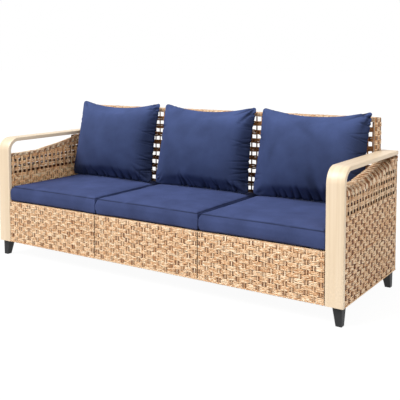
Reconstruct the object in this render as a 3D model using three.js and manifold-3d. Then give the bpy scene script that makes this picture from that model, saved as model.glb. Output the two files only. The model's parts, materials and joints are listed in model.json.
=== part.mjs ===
// Three-seat rattan garden sofa. Two woven box arms stand under bent flat armrests, the back is
// an open lattice in a wrapped frame, the apron is woven in three panels, and three box seat
// cushions and three leaning pillows lie loose on a strap deck.
// Millimetres, +Z up, +X to the right and left as in "left arm" both as seen from the front, +Y to
// the back. The origin lies on the floor, midway between the arms and midway from front to back.
import * as THREE from "three";
import { mergeGeometries, mergeVertices } from "three/addons/utils/BufferGeometryUtils.js";
import Module from "manifold-3d";

// Overall sizes
const width = 1930;
const depth = 632;
const backHeight = 770;
const armHeight = 622;
const legHeight = 77;
const apronHeight = 288;
const fit = 0.3;
const overrun = 2;
const bendSteps = 7;
const cornerSteps = 3;
const weld = 0.001;
const quarterTurn = Math.PI / 2;

// Bent armrest band: one flat tube, upright in front and level on top
const bandWidth = 77;
const bandThickness = 18.5;
const bandBendRadius = 68;
const bandEdge = 2;

// Woven box arm: depth of the gap behind the band, level stretch, soft bend and final climb
const armTopDrop = 89;
const armLevelLength = 221;
const armBendLength = 75;
const armClimbLength = 54;
const armClimbRise = 7.8;
const weaveThickness = 4;

// Border braid over the top of the arm
const braidThickness = 4;
const braidDrop = 4;

// Open rows in the arm weave, and the share of the arm's length where each row starts
const armHoleWidth = 15;
const armHoleHeight = 13.6;
const armHolePitch = 31.4;
const armHoleFrontMargin = 28;
const armHoleRearMargin = 44;
const armHoleTopMargin = 3;
const armFirstRowDrop = 93.5;
const armRowPitch = 31.8;
const armRowStartShares = [0, 0, 0, 0.72, 0.88];

// Steel tubes inside the arms, the length of a foot pad and the spacing of the top ladder's rungs
const armTube = 20;
const footPadLength = 52;
const rungLength = 18;
const rungHeight = 12;
const rungShares = [0.02, 0.33, 0.66, 0.98];

// Wrapped back frame: flat tube inside a woven sleeve
const backDepth = 66;
const backPostWidth = 16;
const backRailHeight = 20;
const backSleeve = 3;
const backCorner = 4;
const backMidRailTop = 365.7;

// Back lattice: wide level straps crossed by narrow upright strands
const latticeThickness = 5;
const latticeStrandThickness = 3;
const latticeColumnPitch = 60.2;
const latticeStrand = 7.5;
const latticeRowPitch = 43.2;
const latticeHoleHeight = 21;
const latticeEdge = 2;

// Seat frame of square tubes, with the apron folded over its front rails
const seatTube = 25;
const apronReturn = 27;
const apronCorner = 4;
const deckThickness = 4;
const deckStrap = 40;
const deckColumnPitch = 118;
const deckRowPitch = 135;

// Screws that hold each arm to the seat frame
const boltRadius = 4;
const boltSides = 12;
const boltHeadRadius = 7;
const boltHeadHeight = 5;
const boltHeight = 89.5;
const boltInset = 126;

// Tapered square foot with a stud
const footPlateSide = 44;
const footPlate = 4;
const footShoulder = 40;
const footBottom = 25;
const footSideInset = 12;
const footFrontInset = 17;
const footSplay = 3;
const studRadius = 4;
const studLength = 14;

// Seat cushion: box form with a crown, drawn-in sides and soft edges
const cushionThickness = 81;
const cushionGap = 1.8;
const cushionFrontInset = 4;
const cushionCrown = 11;
const cushionPull = 5;
const cushionRound = 9;
const cushionSteps = 10;
const cushionSideSteps = 3;

// Back pillow: knife edge, pointed corners, leaning on the lattice
const pillowWidth = 546;
const pillowHeight = 410;
const pillowFront = 74;
const pillowBack = 46;
const pillowRim = 6;
const pillowLean = 0.218;
const pillowSidePinch = 15;
const pillowTopDip = 20;
const pillowSag = 9;
const pillowSteps = 10;
const pillowRimSteps = 1;

// Soft forms are shaped from a cube that runs from -1 to 1 each way. The powers say how flat a
// crown is and how full a pillow is towards its edge
const unitSide = 2;
const crownPower = 4;
const fullnessPower = 2.4;
const fullnessRootShare = 0.55;

// Sizes that follow
const front = -depth / 2;
const rear = depth / 2;
const innerHalf = width / 2 - bandWidth;
const seatHalf = innerHalf - fit;
const bandUnderside = armHeight - bandThickness;
const armFront = front + bandThickness + fit;
const armRear = rear - weaveThickness - fit;
const armHalf = bandWidth / 2;
const armCoreHalf = armHalf - weaveThickness - fit;
const bendStart = front + armLevelLength;
const bendEnd = bendStart + armBendLength;
const climbStart = rear - armClimbLength;
const armTopHeight = armHeight - armTopDrop;
const armTopRise = bandUnderside - fit - armTopHeight;
const armSlope = (armTopRise - armClimbRise) / (rear - bendEnd + armBendLength / 2);
const panelWidth = (innerHalf + innerHalf) / 3;
const seamX = panelWidth / 2;
const backFront = rear - backDepth;
const backCoreFront = backFront + backSleeve + fit;
const backCoreRear = rear - backSleeve - fit;
const railTop = apronHeight - deckThickness - fit;
const railBottom = railTop - seatTube;
const footRailBottom = legHeight + weaveThickness + fit;
const footRailTop = footRailBottom + seatTube;
const frontRailFront = front + weaveThickness + fit;
const frontRailRear = frontRailFront + seatTube;
const windowHalf = seatHalf - backPostWidth;

const wovenColour = 0xd6b184;
const steelColour = 0x6b5642;
const bandColour = 0xeed9b8;
const strapColour = 0x3a332c;
const legColour = 0x1b1b1d;
const zincColour = 0xb4b6b8;
const clothColour = 0x45517f;
const matt = 0.85;
const satin = 0.5;
const metallic = 0.6;

const wasm = await Module();
wasm.setup();

function finish(color, roughness, metalness = 0) {
  return new THREE.MeshStandardMaterial({ color, roughness, metalness });
}

const finishes = {
  woven: finish(wovenColour, matt),
  steel: finish(steelColour, satin, metallic),
  band: finish(bandColour, satin),
  strap: finish(strapColour, matt),
  leg: finish(legColour, satin, metallic),
  zinc: finish(zincColour, satin, 1),
  cloth: finish(clothColour, matt),
};

function toSolid(geometry) {
  const bare = geometry.clone();
  bare.deleteAttribute("normal");
  bare.deleteAttribute("uv");
  const merged = mergeVertices(bare, weld);
  return new wasm.Manifold(
    new wasm.Mesh({
      numProp: 3,
      vertProperties: merged.attributes.position.array,
      triVerts: new Uint32Array(merged.index.array),
    }),
  );
}

function toGeometry(solid) {
  const mesh = solid.getMesh();
  const geometry = new THREE.BufferGeometry();
  geometry.setAttribute("position", new THREE.BufferAttribute(mesh.vertProperties, mesh.numProp));
  geometry.setIndex(new THREE.BufferAttribute(mesh.triVerts, 1));
  geometry.computeVertexNormals();
  return geometry;
}

function join(first, ...others) {
  return toGeometry(others.reduce((sum, other) => sum.add(toSolid(other)), toSolid(first)));
}

function cut(first, ...tools) {
  return toGeometry(tools.reduce((rest, tool) => rest.subtract(toSolid(tool)), toSolid(first)));
}

function block(x, y, z) {
  const size = [x, y, z].map(([low, high]) => high - low);
  const middle = [x, y, z].map(([low, high]) => (low + high) / 2);
  return new THREE.BoxGeometry(...size).translate(...middle);
}

function outline(points) {
  return new THREE.Shape(points.map(([a, b]) => new THREE.Vector2(a, b)));
}

function around(centre, size) {
  return [centre - size / 2, centre + size / 2];
}

function past([low, high]) {
  return [low - overrun, high + overrun];
}

// A shape drawn in Y and Z, extruded from one X to another
function extrudeAlongX(shape, [low, high], options = {}) {
  const bevel = options.bevelThickness ?? 0;
  const geometry = new THREE.ExtrudeGeometry(shape, {
    depth: high - low - bevel - bevel,
    bevelEnabled: false,
    curveSegments: cornerSteps,
    ...options,
  });
  const toWorld = new THREE.Matrix4().makeBasis(
    new THREE.Vector3(0, 1, 0),
    new THREE.Vector3(0, 0, 1),
    new THREE.Vector3(1, 0, 0),
  );
  return geometry.translate(0, 0, low + bevel).applyMatrix4(toWorld);
}

// A shape drawn in X and Y, extruded from one Z to another
function extrudeAlongZ(shape, [low, high]) {
  const settings = { depth: high - low, bevelEnabled: false, curveSegments: cornerSteps };
  return new THREE.ExtrudeGeometry(shape, settings).translate(0, 0, low);
}

function roundedRectangle([aLow, aHigh], [bLow, bHigh], radius) {
  const shape = new THREE.Shape();
  shape.moveTo(aLow + radius, bLow);
  shape.lineTo(aHigh - radius, bLow);
  shape.absarc(aHigh - radius, bLow + radius, radius, -quarterTurn, 0);
  shape.lineTo(aHigh, bHigh - radius);
  shape.absarc(aHigh - radius, bHigh - radius, radius, 0, quarterTurn);
  shape.lineTo(aLow + radius, bHigh);
  shape.absarc(aLow + radius, bHigh - radius, radius, quarterTurn, Math.PI);
  shape.lineTo(aLow, bLow + radius);
  shape.absarc(aLow + radius, bLow + radius, radius, Math.PI, Math.PI + quarterTurn);
  return shape;
}

// Height of the woven arm's top at a distance from front to back
function armTopAt(y) {
  const intoBend = THREE.MathUtils.clamp(y - bendStart, 0, armBendLength);
  const pastBend = Math.max(y - bendEnd, 0);
  const intoClimb = Math.max(y - climbStart, 0) / armClimbLength;
  const bend = (armSlope * intoBend * intoBend) / armBendLength / 2;
  return armTopHeight + bend + armSlope * pastBend + armClimbRise * intoClimb * intoClimb;
}

// Upper edge of the arm's side walls, just below the braid
function wallTopAt(y) {
  return armTopAt(y) - braidThickness - braidDrop - fit;
}

// Places from front to back where the arm's top changes, with both ends
function armStations(from, to) {
  const bendThirds = [1, 2].map((third) => bendStart + (armBendLength * third) / 3);
  const climbHalf = climbStart + armClimbLength / 2;
  const inner = [bendStart, ...bendThirds, bendEnd, climbStart, climbHalf];
  return [from, ...inner.filter((y) => y > from && y < to), to];
}

function armStrip(from, to, lower, upper) {
  const stations = armStations(from, to);
  const over = stations.map((y) => [y, armTopAt(y) - upper]);
  const under = stations.map((y) => [y, armTopAt(y) - lower]).reverse();
  return outline([...over, ...under]);
}

function bandShape() {
  const turn = front + bandBendRadius;
  const turnHeight = armHeight - bandBendRadius;
  const shape = new THREE.Shape();
  shape.moveTo(front, legHeight);
  shape.lineTo(front, turnHeight);
  shape.absarc(turn, turnHeight, bandBendRadius, Math.PI, quarterTurn, true);
  shape.lineTo(rear, armHeight);
  shape.lineTo(rear, bandUnderside);
  shape.lineTo(turn, bandUnderside);
  shape.absarc(turn, turnHeight, bandBendRadius - bandThickness, quarterTurn, Math.PI, false);
  shape.lineTo(front + bandThickness, legHeight);
  return shape;
}

function armBand() {
  return extrudeAlongX(bandShape(), [-armHalf, armHalf], {
    curveSegments: bendSteps,
    bevelEnabled: true,
    bevelThickness: bandEdge,
    bevelSize: bandEdge,
    bevelOffset: -bandEdge,
    bevelSegments: 1,
  });
}

// Open places in one arm wall, row by row
function armHoles() {
  const length = armRear - armFront;
  const usable = length - armHoleFrontMargin - armHoleRearMargin;
  const count = Math.floor(usable / armHolePitch) + 1;
  const holes = [];
  armRowStartShares.forEach((share, row) => {
    for (let column = 0; column < count; column += 1) {
      const along = armHoleFrontMargin + column * armHolePitch;
      const height = armTopHeight - armFirstRowDrop + row * armRowPitch;
      const room = wallTopAt(armFront + along - armHoleWidth / 2) - armHoleTopMargin;
      if (along < share * length || height + armHoleHeight / 2 > room) continue;
      holes.push([around(armFront + along, armHoleWidth), around(height, armHoleHeight)]);
    }
  });
  return holes;
}

function boltPlaces() {
  return [front + boltInset, rear - boltInset];
}

function boltShaft(radius, [low, high], y) {
  const shaft = new THREE.CylinderGeometry(radius, radius, high - low, boltSides);
  return shaft.rotateZ(quarterTurn).translate((low + high) / 2, y, boltHeight);
}

function armWall(x, bolted) {
  const stations = armStations(armFront, armRear);
  const top = stations.map((y) => [y, wallTopAt(y)]);
  const corners = [[armFront, legHeight], ...top, [armRear, legHeight]];
  const wall = extrudeAlongX(outline(corners), x);
  const holes = armHoles().map(([y, z]) => block(past(x), y, z));
  const bolts = boltPlaces().map((y) => boltShaft(boltRadius + fit, past(x), y));
  return cut(wall, mergeGeometries(holes), ...(bolted ? bolts : []));
}

function armBraid() {
  const skin = weaveThickness;
  const lid = extrudeAlongX(armStrip(armFront, armRear, braidThickness, 0), [-armHalf, armHalf]);
  const drop = braidThickness + braidDrop;
  const sides = [-armHalf, armHalf - skin].map((x) =>
    extrudeAlongX(armStrip(armFront, armRear, drop, 0), [x, x + skin]),
  );
  return join(lid, ...sides);
}

function armRearWall() {
  const z = [legHeight, bandUnderside - fit];
  return block([-armHalf, armHalf], [rear - weaveThickness, rear], z);
}

// Ladder under the braid: two bent tubes with rungs
function armTopLadder() {
  const over = braidThickness + fit;
  const strip = armStrip(armFront, armRear, over + armTube, over);
  const tubes = [-armCoreHalf, armCoreHalf - armTube].map((x) => extrudeAlongX(strip, [x, x + armTube]));
  const rungs = rungShares.map((share) => {
    const y = armFront + share * (armRear - armFront - rungLength);
    const top = armTopAt(y) - over;
    return block([-armCoreHalf, armCoreHalf], [y, y + rungLength], [top - rungHeight, top]);
  });
  return join(...tubes, ...rungs);
}

function footCentreX() {
  return armHalf - footSideInset - footPlateSide / 2 + footSplay;
}

function footCentreY() {
  return front + footFrontInset + footPlateSide / 2 - footSplay;
}

function studHole(x, y) {
  const length = studLength + overrun + overrun;
  const hole = new THREE.CylinderGeometry(studRadius + fit, studRadius + fit, length, boltSides);
  return hole.rotateX(quarterTurn).translate(x, y, legHeight - overrun + length / 2);
}

// Ladder on the feet: two tubes with a broad pad over each foot
function armBottomLadder(side) {
  const z = [legHeight, legHeight + armTube];
  const y = [armFront, armRear];
  const tubes = [-armCoreHalf, armCoreHalf - armTube].map((x) => block([x, x + armTube], y, z));
  const pads = [armFront, armRear - footPadLength].map((low) =>
    block([-armCoreHalf, armCoreHalf], [low, low + footPadLength], z),
  );
  const inner = side > 0 ? [-armCoreHalf, armTube - armCoreHalf] : [armCoreHalf - armTube, armCoreHalf];
  const holes = boltPlaces().map((place) => boltShaft(boltRadius + fit, past(inner), place));
  const studs = [footCentreY(), -footCentreY()].map((place) => studHole(side * footCentreX(), place));
  return cut(join(...tubes, ...pads), ...holes, ...studs);
}

function armUpright(y, top) {
  return block([-armCoreHalf, armCoreHalf], y, [legHeight + armTube + fit, top]);
}

function ladderUnderside(y) {
  return armTopAt(y) - braidThickness - fit - armTube - fit;
}

// Solid between a square at the bottom and a larger square at the top
function taper(bottomCentre, bottomSize, topCentre, topSize, [low, high]) {
  const ring = ([x, y], size, z) => [
    [x - size / 2, y - size / 2, z],
    [x + size / 2, y - size / 2, z],
    [x + size / 2, y + size / 2, z],
    [x - size / 2, y + size / 2, z],
  ];
  const points = [...ring(bottomCentre, bottomSize, low), ...ring(topCentre, topSize, high)];
  const faces = [[0, 3, 2, 1], [4, 5, 6, 7], [0, 1, 5, 4], [1, 2, 6, 5], [2, 3, 7, 6], [3, 0, 4, 7]];
  const geometry = new THREE.BufferGeometry();
  geometry.setAttribute("position", new THREE.Float32BufferAttribute(points.flat(), 3));
  geometry.setIndex(faces.flatMap(([a, b, c, d]) => [a, b, c, a, c, d]));
  return geometry;
}

// Foot under one end of an arm: outer faces stand almost upright, inner faces slope
function foot(side, end) {
  const top = [side * footCentreX(), -end * footCentreY()];
  const shift = (footPlateSide - footBottom) / 2 - footSplay;
  const bottom = [top[0] + side * shift, top[1] + end * shift];
  const plateTop = legHeight - fit;
  const leg = taper(bottom, footBottom, top, footShoulder, [0, plateTop - footPlate]);
  const half = footPlateSide / 2;
  const plate = block(
    [top[0] - half, top[0] + half],
    [top[1] - half, top[1] + half],
    [plateTop - footPlate - fit, plateTop],
  );
  const stud = new THREE.CylinderGeometry(studRadius, studRadius, studLength + fit, boltSides);
  stud.rotateX(quarterTurn).translate(top[0], top[1], plateTop + (studLength - fit) / 2);
  return join(leg, plate, stud);
}

const root = new THREE.Group();

function add(parent, name, geometry, material) {
  const mesh = new THREE.Mesh(geometry, material);
  mesh.name = name;
  parent.add(mesh);
}

function addArm(label, side) {
  const arm = new THREE.Group();
  arm.position.x = side * (width / 2 - armHalf);
  root.add(arm);
  const positiveSkin = [armHalf - weaveThickness, armHalf];
  const negativeSkin = [-armHalf, weaveThickness - armHalf];
  const [outerSkin, innerSkin] = side > 0 ? [positiveSkin, negativeSkin] : [negativeSkin, positiveSkin];
  const frontPost = [armFront, armFront + armTube];
  const rearPost = [armRear - armTube, armRear];
  add(arm, `${label}_armrest_band`, armBand(), finishes.band);
  add(arm, `${label}_arm_outer_weave`, armWall(outerSkin, false), finishes.woven);
  add(arm, `${label}_arm_inner_weave`, armWall(innerSkin, true), finishes.woven);
  add(arm, `${label}_arm_border_braid`, armBraid(), finishes.woven);
  add(arm, `${label}_arm_rear_weave`, armRearWall(), finishes.woven);
  add(arm, `${label}_arm_top_ladder`, armTopLadder(), finishes.steel);
  add(arm, `${label}_arm_bottom_ladder`, armBottomLadder(side), finishes.steel);
  add(arm, `${label}_arm_front_post`, armUpright(frontPost, ladderUnderside(armFront)), finishes.steel);
  add(arm, `${label}_arm_rear_post`, armUpright(rearPost, ladderUnderside(rearPost[0])), finishes.steel);
  add(arm, `${label}_front_foot`, foot(side, -1), finishes.leg);
  add(arm, `${label}_rear_foot`, foot(side, 1), finishes.leg);
}

// Apron panel: a woven face folded back over the top rail and under the bottom rail
function apronShape() {
  const back = front + apronReturn;
  const inner = front + weaveThickness;
  const corner = apronCorner;
  const shape = new THREE.Shape();
  shape.moveTo(back, apronHeight);
  shape.lineTo(front + corner, apronHeight);
  shape.absarc(front + corner, apronHeight - corner, corner, quarterTurn, Math.PI, false);
  shape.lineTo(front, legHeight + corner);
  shape.absarc(front + corner, legHeight + corner, corner, Math.PI, Math.PI + quarterTurn, false);
  shape.lineTo(back, legHeight);
  shape.lineTo(back, legHeight + weaveThickness);
  shape.lineTo(inner, legHeight + weaveThickness);
  shape.lineTo(inner, apronHeight - weaveThickness);
  shape.lineTo(back, apronHeight - weaveThickness);
  return shape;
}

function panelRange(index) {
  const low = -innerHalf + index * panelWidth + fit;
  return [low, low + panelWidth - fit - fit];
}

// Strap deck of one seat bay
function deckPanel(index) {
  const [low, high] = panelRange(index);
  const yLow = front + apronReturn + fit;
  const yHigh = backCoreFront - fit;
  const columns = Math.max(Math.round((high - low) / deckColumnPitch), 1);
  const rows = Math.max(Math.round((yHigh - yLow) / deckRowPitch), 1);
  const cellX = (high - low) / columns;
  const cellY = (yHigh - yLow) / rows;
  const z = [apronHeight - deckThickness, apronHeight];
  const holes = [];
  for (let column = 0; column < columns; column += 1) {
    for (let row = 0; row < rows; row += 1) {
      const x = around(low + (column + 1 / 2) * cellX, cellX - deckStrap);
      const y = around(yLow + (row + 1 / 2) * cellY, cellY - deckStrap);
      holes.push(block(x, y, past(z)));
    }
  }
  return cut(block([low, high], [yLow, yHigh], z), mergeGeometries(holes));
}

function bolt(side, y) {
  const inside = seatHalf - seatTube - fit;
  const end = seatHalf + fit + weaveThickness + fit + armTube;
  const range = side > 0 ? [inside - fit, end] : [-end, fit - inside];
  const headRange = side > 0 ? [inside - boltHeadHeight, inside] : [-inside, boltHeadHeight - inside];
  return join(boltShaft(boltRadius, range, y), boltShaft(boltHeadRadius, headRange, y));
}

function addSeatFrame() {
  const seat = new THREE.Group();
  root.add(seat);
  const high = [railBottom, railTop];
  const low = [footRailBottom, footRailTop];
  const full = [-seatHalf, seatHalf];
  const inside = [fit + seatTube - seatHalf, seatHalf - seatTube - fit];
  const frontRail = [frontRailFront, frontRailRear];
  const sideRail = [frontRailRear + fit, backCoreFront - fit];
  const rearRail = [backCoreFront - fit - seatTube, backCoreFront - fit];
  const footRearRail = [backCoreRear - seatTube, backCoreRear];
  add(seat, "seat_front_top_rail", block(full, frontRail, high), finishes.steel);
  add(seat, "seat_front_bottom_rail", block(full, frontRail, low), finishes.steel);
  add(seat, "seat_rear_top_rail", block(inside, rearRail, high), finishes.steel);
  add(seat, "seat_rear_bottom_rail", block(inside, footRearRail, low), finishes.steel);
  [["left", -1], ["right", 1]].forEach(([label, side]) => {
    const edge = [side * seatHalf, side * (seatHalf - seatTube)].sort((a, b) => a - b);
    const seam = [side * seamX - seatTube / 2, side * seamX + seatTube / 2];
    const strut = [footRailTop + fit, railBottom - fit];
    const crossRail = [sideRail[0], rearRail[0] - fit];
    const lowRail = block(edge, [frontRailRear + fit, backCoreRear], low);
    const holes = boltPlaces().map((y) => boltShaft(boltRadius + fit, past(edge), y));
    add(seat, `${label}_seat_side_rail`, block(edge, sideRail, high), finishes.steel);
    add(seat, `${label}_seat_bottom_rail`, cut(lowRail, ...holes), finishes.steel);
    add(seat, `${label}_seat_cross_rail`, block(seam, crossRail, high), finishes.steel);
    add(seat, `${label}_seat_front_strut`, block(seam, frontRail, strut), finishes.steel);
    boltPlaces().forEach((y, index) => {
      add(seat, `${label}_arm_bolt_${["front", "rear"][index]}`, bolt(side, y), finishes.zinc);
    });
  });
  ["left", "centre", "right"].forEach((label, index) => {
    add(seat, `${label}_apron_weave`, extrudeAlongX(apronShape(), panelRange(index)), finishes.woven);
    add(seat, `${label}_seat_deck`, deckPanel(index), finishes.strap);
  });
}

// Lattice: a sheet of upright strands with broader straps lying across it
function backLattice() {
  const half = windowHalf - fit;
  const z = [backMidRailTop + fit, backHeight - backRailHeight - fit];
  const columns = Math.max(Math.round((half + half) / latticeColumnPitch), 1);
  const cell = (half + half) / columns;
  const usable = z[1] - z[0] - latticeEdge - latticeHoleHeight;
  const rows = Math.floor(usable / latticeRowPitch) + 1;
  const rowTop = z[1] - latticeEdge - latticeHoleHeight / 2;
  const holes = [];
  const straps = [];
  const sheetRear = backCoreFront + latticeThickness;
  const sheetY = [sheetRear - latticeStrandThickness, sheetRear];
  for (let row = 0; row < rows; row += 1) {
    const height = rowTop - row * latticeRowPitch;
    for (let column = 0; column < columns; column += 1) {
      const x = around((column + 1 / 2) * cell - half, cell - latticeStrand);
      holes.push(block(x, past(sheetY), around(height, latticeHoleHeight)));
    }
    const strapTop = height - latticeHoleHeight / 2 - fit;
    const below = row < rows - 1 ? strapTop - latticeRowPitch + latticeHoleHeight + fit + fit : z[0];
    straps.push(block([-half, half], [backCoreFront, sheetRear - fit], [below, strapTop]));
  }
  const sheet = cut(block([-half, half], sheetY, z), mergeGeometries(holes));
  return join(sheet, ...straps);
}

function addBack() {
  const back = new THREE.Group();
  root.add(back);
  const core = [backCoreFront, backCoreRear];
  const railZ = [backHeight - backRailHeight, backHeight];
  const skin = backSleeve + fit;
  const railX = [fit - windowHalf, windowHalf - fit];
  const sleeve = roundedRectangle([backFront, rear], railZ, backCorner);
  const bore = block(
    [railX[0] - overrun, railX[1] + overrun],
    [backFront + backSleeve, rear - backSleeve],
    [railZ[0] + backSleeve, railZ[1] - backSleeve],
  );
  add(back, "back_top_wrap", cut(extrudeAlongX(sleeve, railX), bore), finishes.woven);
  add(back, "back_top_tube", block(railX, core, [railZ[0] + skin, railZ[1] - skin]), finishes.steel);
  [["left", -1], ["right", 1]].forEach(([label, side]) => {
    const outer = [side * seatHalf, side * windowHalf].sort((a, b) => a - b);
    const z = [backMidRailTop + fit, backHeight];
    const post = extrudeAlongZ(roundedRectangle(outer, [backFront, rear], backCorner), z);
    const hollow = block(
      [outer[0] + backSleeve, outer[1] - backSleeve],
      [backFront + backSleeve, rear - backSleeve],
      [z[0] - overrun, z[1] - backSleeve],
    );
    const tube = block([outer[0] + skin, outer[1] - skin], core, [footRailTop + fit, backHeight - skin]);
    add(back, `${label}_back_post_wrap`, cut(post, hollow), finishes.woven);
    add(back, `${label}_back_post_tube`, tube, finishes.steel);
  });
  const midHalf = windowHalf + backSleeve;
  const midZ = [backMidRailTop - backRailHeight, backMidRailTop];
  add(back, "back_mid_rail", block([-midHalf, midHalf], core, midZ), finishes.steel);
  add(back, "back_lattice", backLattice(), finishes.woven);
  const lower = block([-seatHalf, seatHalf], [rear - backSleeve, rear], [legHeight, backMidRailTop]);
  add(back, "back_lower_weave", lower, finishes.woven);
}

// Moves every point of a geometry
function reshape(geometry, place) {
  const points = geometry.attributes.position;
  const point = new THREE.Vector3();
  for (let index = 0; index < points.count; index += 1) {
    point.fromBufferAttribute(points, index);
    place(point);
    points.setXYZ(index, point.x, point.y, point.z);
  }
  geometry.computeVertexNormals();
  return geometry;
}

const cushionHalfX = panelWidth / 2 - cushionGap / 2;
const cushionFront = front + cushionFrontInset;
const cushionRear = backFront - fit;
const cushionHalfY = (cushionRear - cushionFront) / 2;
const cushionMiddleY = (cushionRear + cushionFront) / 2;
const cushionBottom = apronHeight + fit;

function crownAt(u, v) {
  return cushionCrown * (1 - Math.abs(u) ** crownPower) * (1 - Math.abs(v) ** crownPower);
}

// Height of a seat cushion's top, in its own X and the sofa's Y
function cushionTopAt(x, y) {
  const u = THREE.MathUtils.clamp(x / cushionHalfX, -1, 1);
  const v = THREE.MathUtils.clamp((y - cushionMiddleY) / cushionHalfY, -1, 1);
  return apronHeight + cushionThickness + crownAt(u, v);
}

function seatCushion() {
  const steps = [cushionSteps, cushionSteps, cushionSideSteps];
  const unit = new THREE.BoxGeometry(unitSide, unitSide, unitSide, ...steps);
  const body = cushionThickness - fit;
  return reshape(unit, (point) => {
    const { x: u, y: v, z: w } = point;
    const edge = Math.abs(w) ** crownPower * cushionRound * (w > 0 ? 1 : 1 / 2);
    const pullX = (cushionPull * (1 - v * v) + edge) * u;
    const pullY = (cushionPull * (1 - u * u) + edge) * v;
    const up = (w + 1) / 2;
    const height = cushionBottom + (body + crownAt(u, v)) * up;
    point.set(cushionHalfX * u - pullX, cushionMiddleY + cushionHalfY * v - pullY, height);
  });
}

// Pillow standing upright about its own middle
function pillow() {
  const steps = [pillowSteps, pillowRimSteps, pillowSteps];
  const unit = new THREE.BoxGeometry(unitSide, unitSide, unitSide, ...steps);
  return reshape(unit, (point) => {
    const { x: u, y: side, z: v } = point;
    const across = 1 - Math.abs(u) ** fullnessPower;
    const along = 1 - Math.abs(v) ** fullnessPower;
    const full = (across * along) ** fullnessRootShare;
    const swell = side < 0 ? pillowFront : pillowBack;
    const inset = pillowSidePinch * (1 - v * v) * u;
    const level = (v > 0 ? -pillowTopDip : pillowSag) * v * (1 - u * u);
    const thickness = side * (pillowRim / 2 + swell * full);
    point.set((pillowWidth / 2) * u - inset, thickness, (pillowHeight / 2) * v + level);
  });
}

// Leans a pillow back, slides it against the lattice and lowers it onto the seat cushion
function seatPillow(geometry) {
  geometry.rotateX(-pillowLean);
  geometry.computeBoundingBox();
  const against = Math.min(backFront, backCoreFront) - fit;
  geometry.translate(0, against - geometry.boundingBox.max.y, apronHeight + cushionThickness);
  const points = geometry.attributes.position;
  let clearance = Infinity;
  for (let index = 0; index < points.count; index += 1) {
    const rise = points.getZ(index) - cushionTopAt(points.getX(index), points.getY(index));
    clearance = Math.min(clearance, rise);
  }
  return geometry.translate(0, 0, fit - clearance);
}

function addCushions() {
  ["left", "centre", "right"].forEach((label, index) => {
    const bay = new THREE.Group();
    bay.position.x = (index - 1) * panelWidth;
    root.add(bay);
    add(bay, `${label}_seat_cushion`, seatCushion(), finishes.cloth);
    add(bay, `${label}_back_pillow`, seatPillow(pillow()), finishes.cloth);
  });
}

addArm("left", -1);
addArm("right", 1);
addSeatFrame();
addBack();
addCushions();

export default root;
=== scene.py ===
import json
import math

import bpy
import numpy as np
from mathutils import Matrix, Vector


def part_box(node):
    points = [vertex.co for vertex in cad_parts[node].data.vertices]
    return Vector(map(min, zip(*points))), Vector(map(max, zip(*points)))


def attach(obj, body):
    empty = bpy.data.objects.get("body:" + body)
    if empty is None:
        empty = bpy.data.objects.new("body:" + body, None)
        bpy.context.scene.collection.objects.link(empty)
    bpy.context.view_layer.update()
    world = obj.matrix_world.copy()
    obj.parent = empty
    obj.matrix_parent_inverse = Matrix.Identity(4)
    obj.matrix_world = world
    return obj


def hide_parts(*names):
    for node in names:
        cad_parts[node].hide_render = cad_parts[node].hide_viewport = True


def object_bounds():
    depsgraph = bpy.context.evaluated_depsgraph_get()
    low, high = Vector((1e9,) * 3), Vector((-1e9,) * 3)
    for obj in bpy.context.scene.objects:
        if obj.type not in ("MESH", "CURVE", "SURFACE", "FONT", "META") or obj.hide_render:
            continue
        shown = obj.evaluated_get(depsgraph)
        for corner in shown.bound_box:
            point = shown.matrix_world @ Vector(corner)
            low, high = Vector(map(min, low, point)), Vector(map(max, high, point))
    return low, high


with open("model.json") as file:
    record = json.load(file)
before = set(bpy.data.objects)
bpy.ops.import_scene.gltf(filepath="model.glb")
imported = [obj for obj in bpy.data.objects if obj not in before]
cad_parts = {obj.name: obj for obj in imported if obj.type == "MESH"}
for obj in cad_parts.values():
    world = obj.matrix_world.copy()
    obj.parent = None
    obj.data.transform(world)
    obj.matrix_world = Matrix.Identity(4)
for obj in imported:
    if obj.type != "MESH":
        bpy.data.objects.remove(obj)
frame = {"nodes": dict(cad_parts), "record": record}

CAD_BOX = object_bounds()
BODY = "root"
SIDES = ("left", "right")
PLACES = ("left", "centre", "right")
WICKER_SEED = 7
SEAT_SEED = 20
PILLOW_SEED = 40
rng = np.random.default_rng(WICKER_SEED)

# Camera: fitted to the photograph's corners, a level two-point view
CAMERA_PLACE = (1.952644, -2.794779, 1.019970)
CAMERA_YAW = math.radians(33.5224)
CAMERA_PITCH = math.radians(4)
CAMERA_SENSOR = 36
CAMERA_LENS = 63.06
CAMERA_SHIFT = -0.2223

# Light: each sun's name, strength, angle in degrees and where it comes from
SUNS = (
    ("key", 3.15, 34, (-0.46, -0.55, 0.80)),
    ("side", 0.58, 24, (1, 0.02, 0.08)),
    ("fill", 0.75, 60, (0.80, -0.45, 0.40)),
)
WORLD_STRENGTH = 0.36
FLOOR_HALF = 60
FLOOR_DROP = 0.0005
FLOOR_TONE = 0.55
FLOOR_GLOW = 1.12
FLOOR_GLOW_SHARE = 0.85

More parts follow.
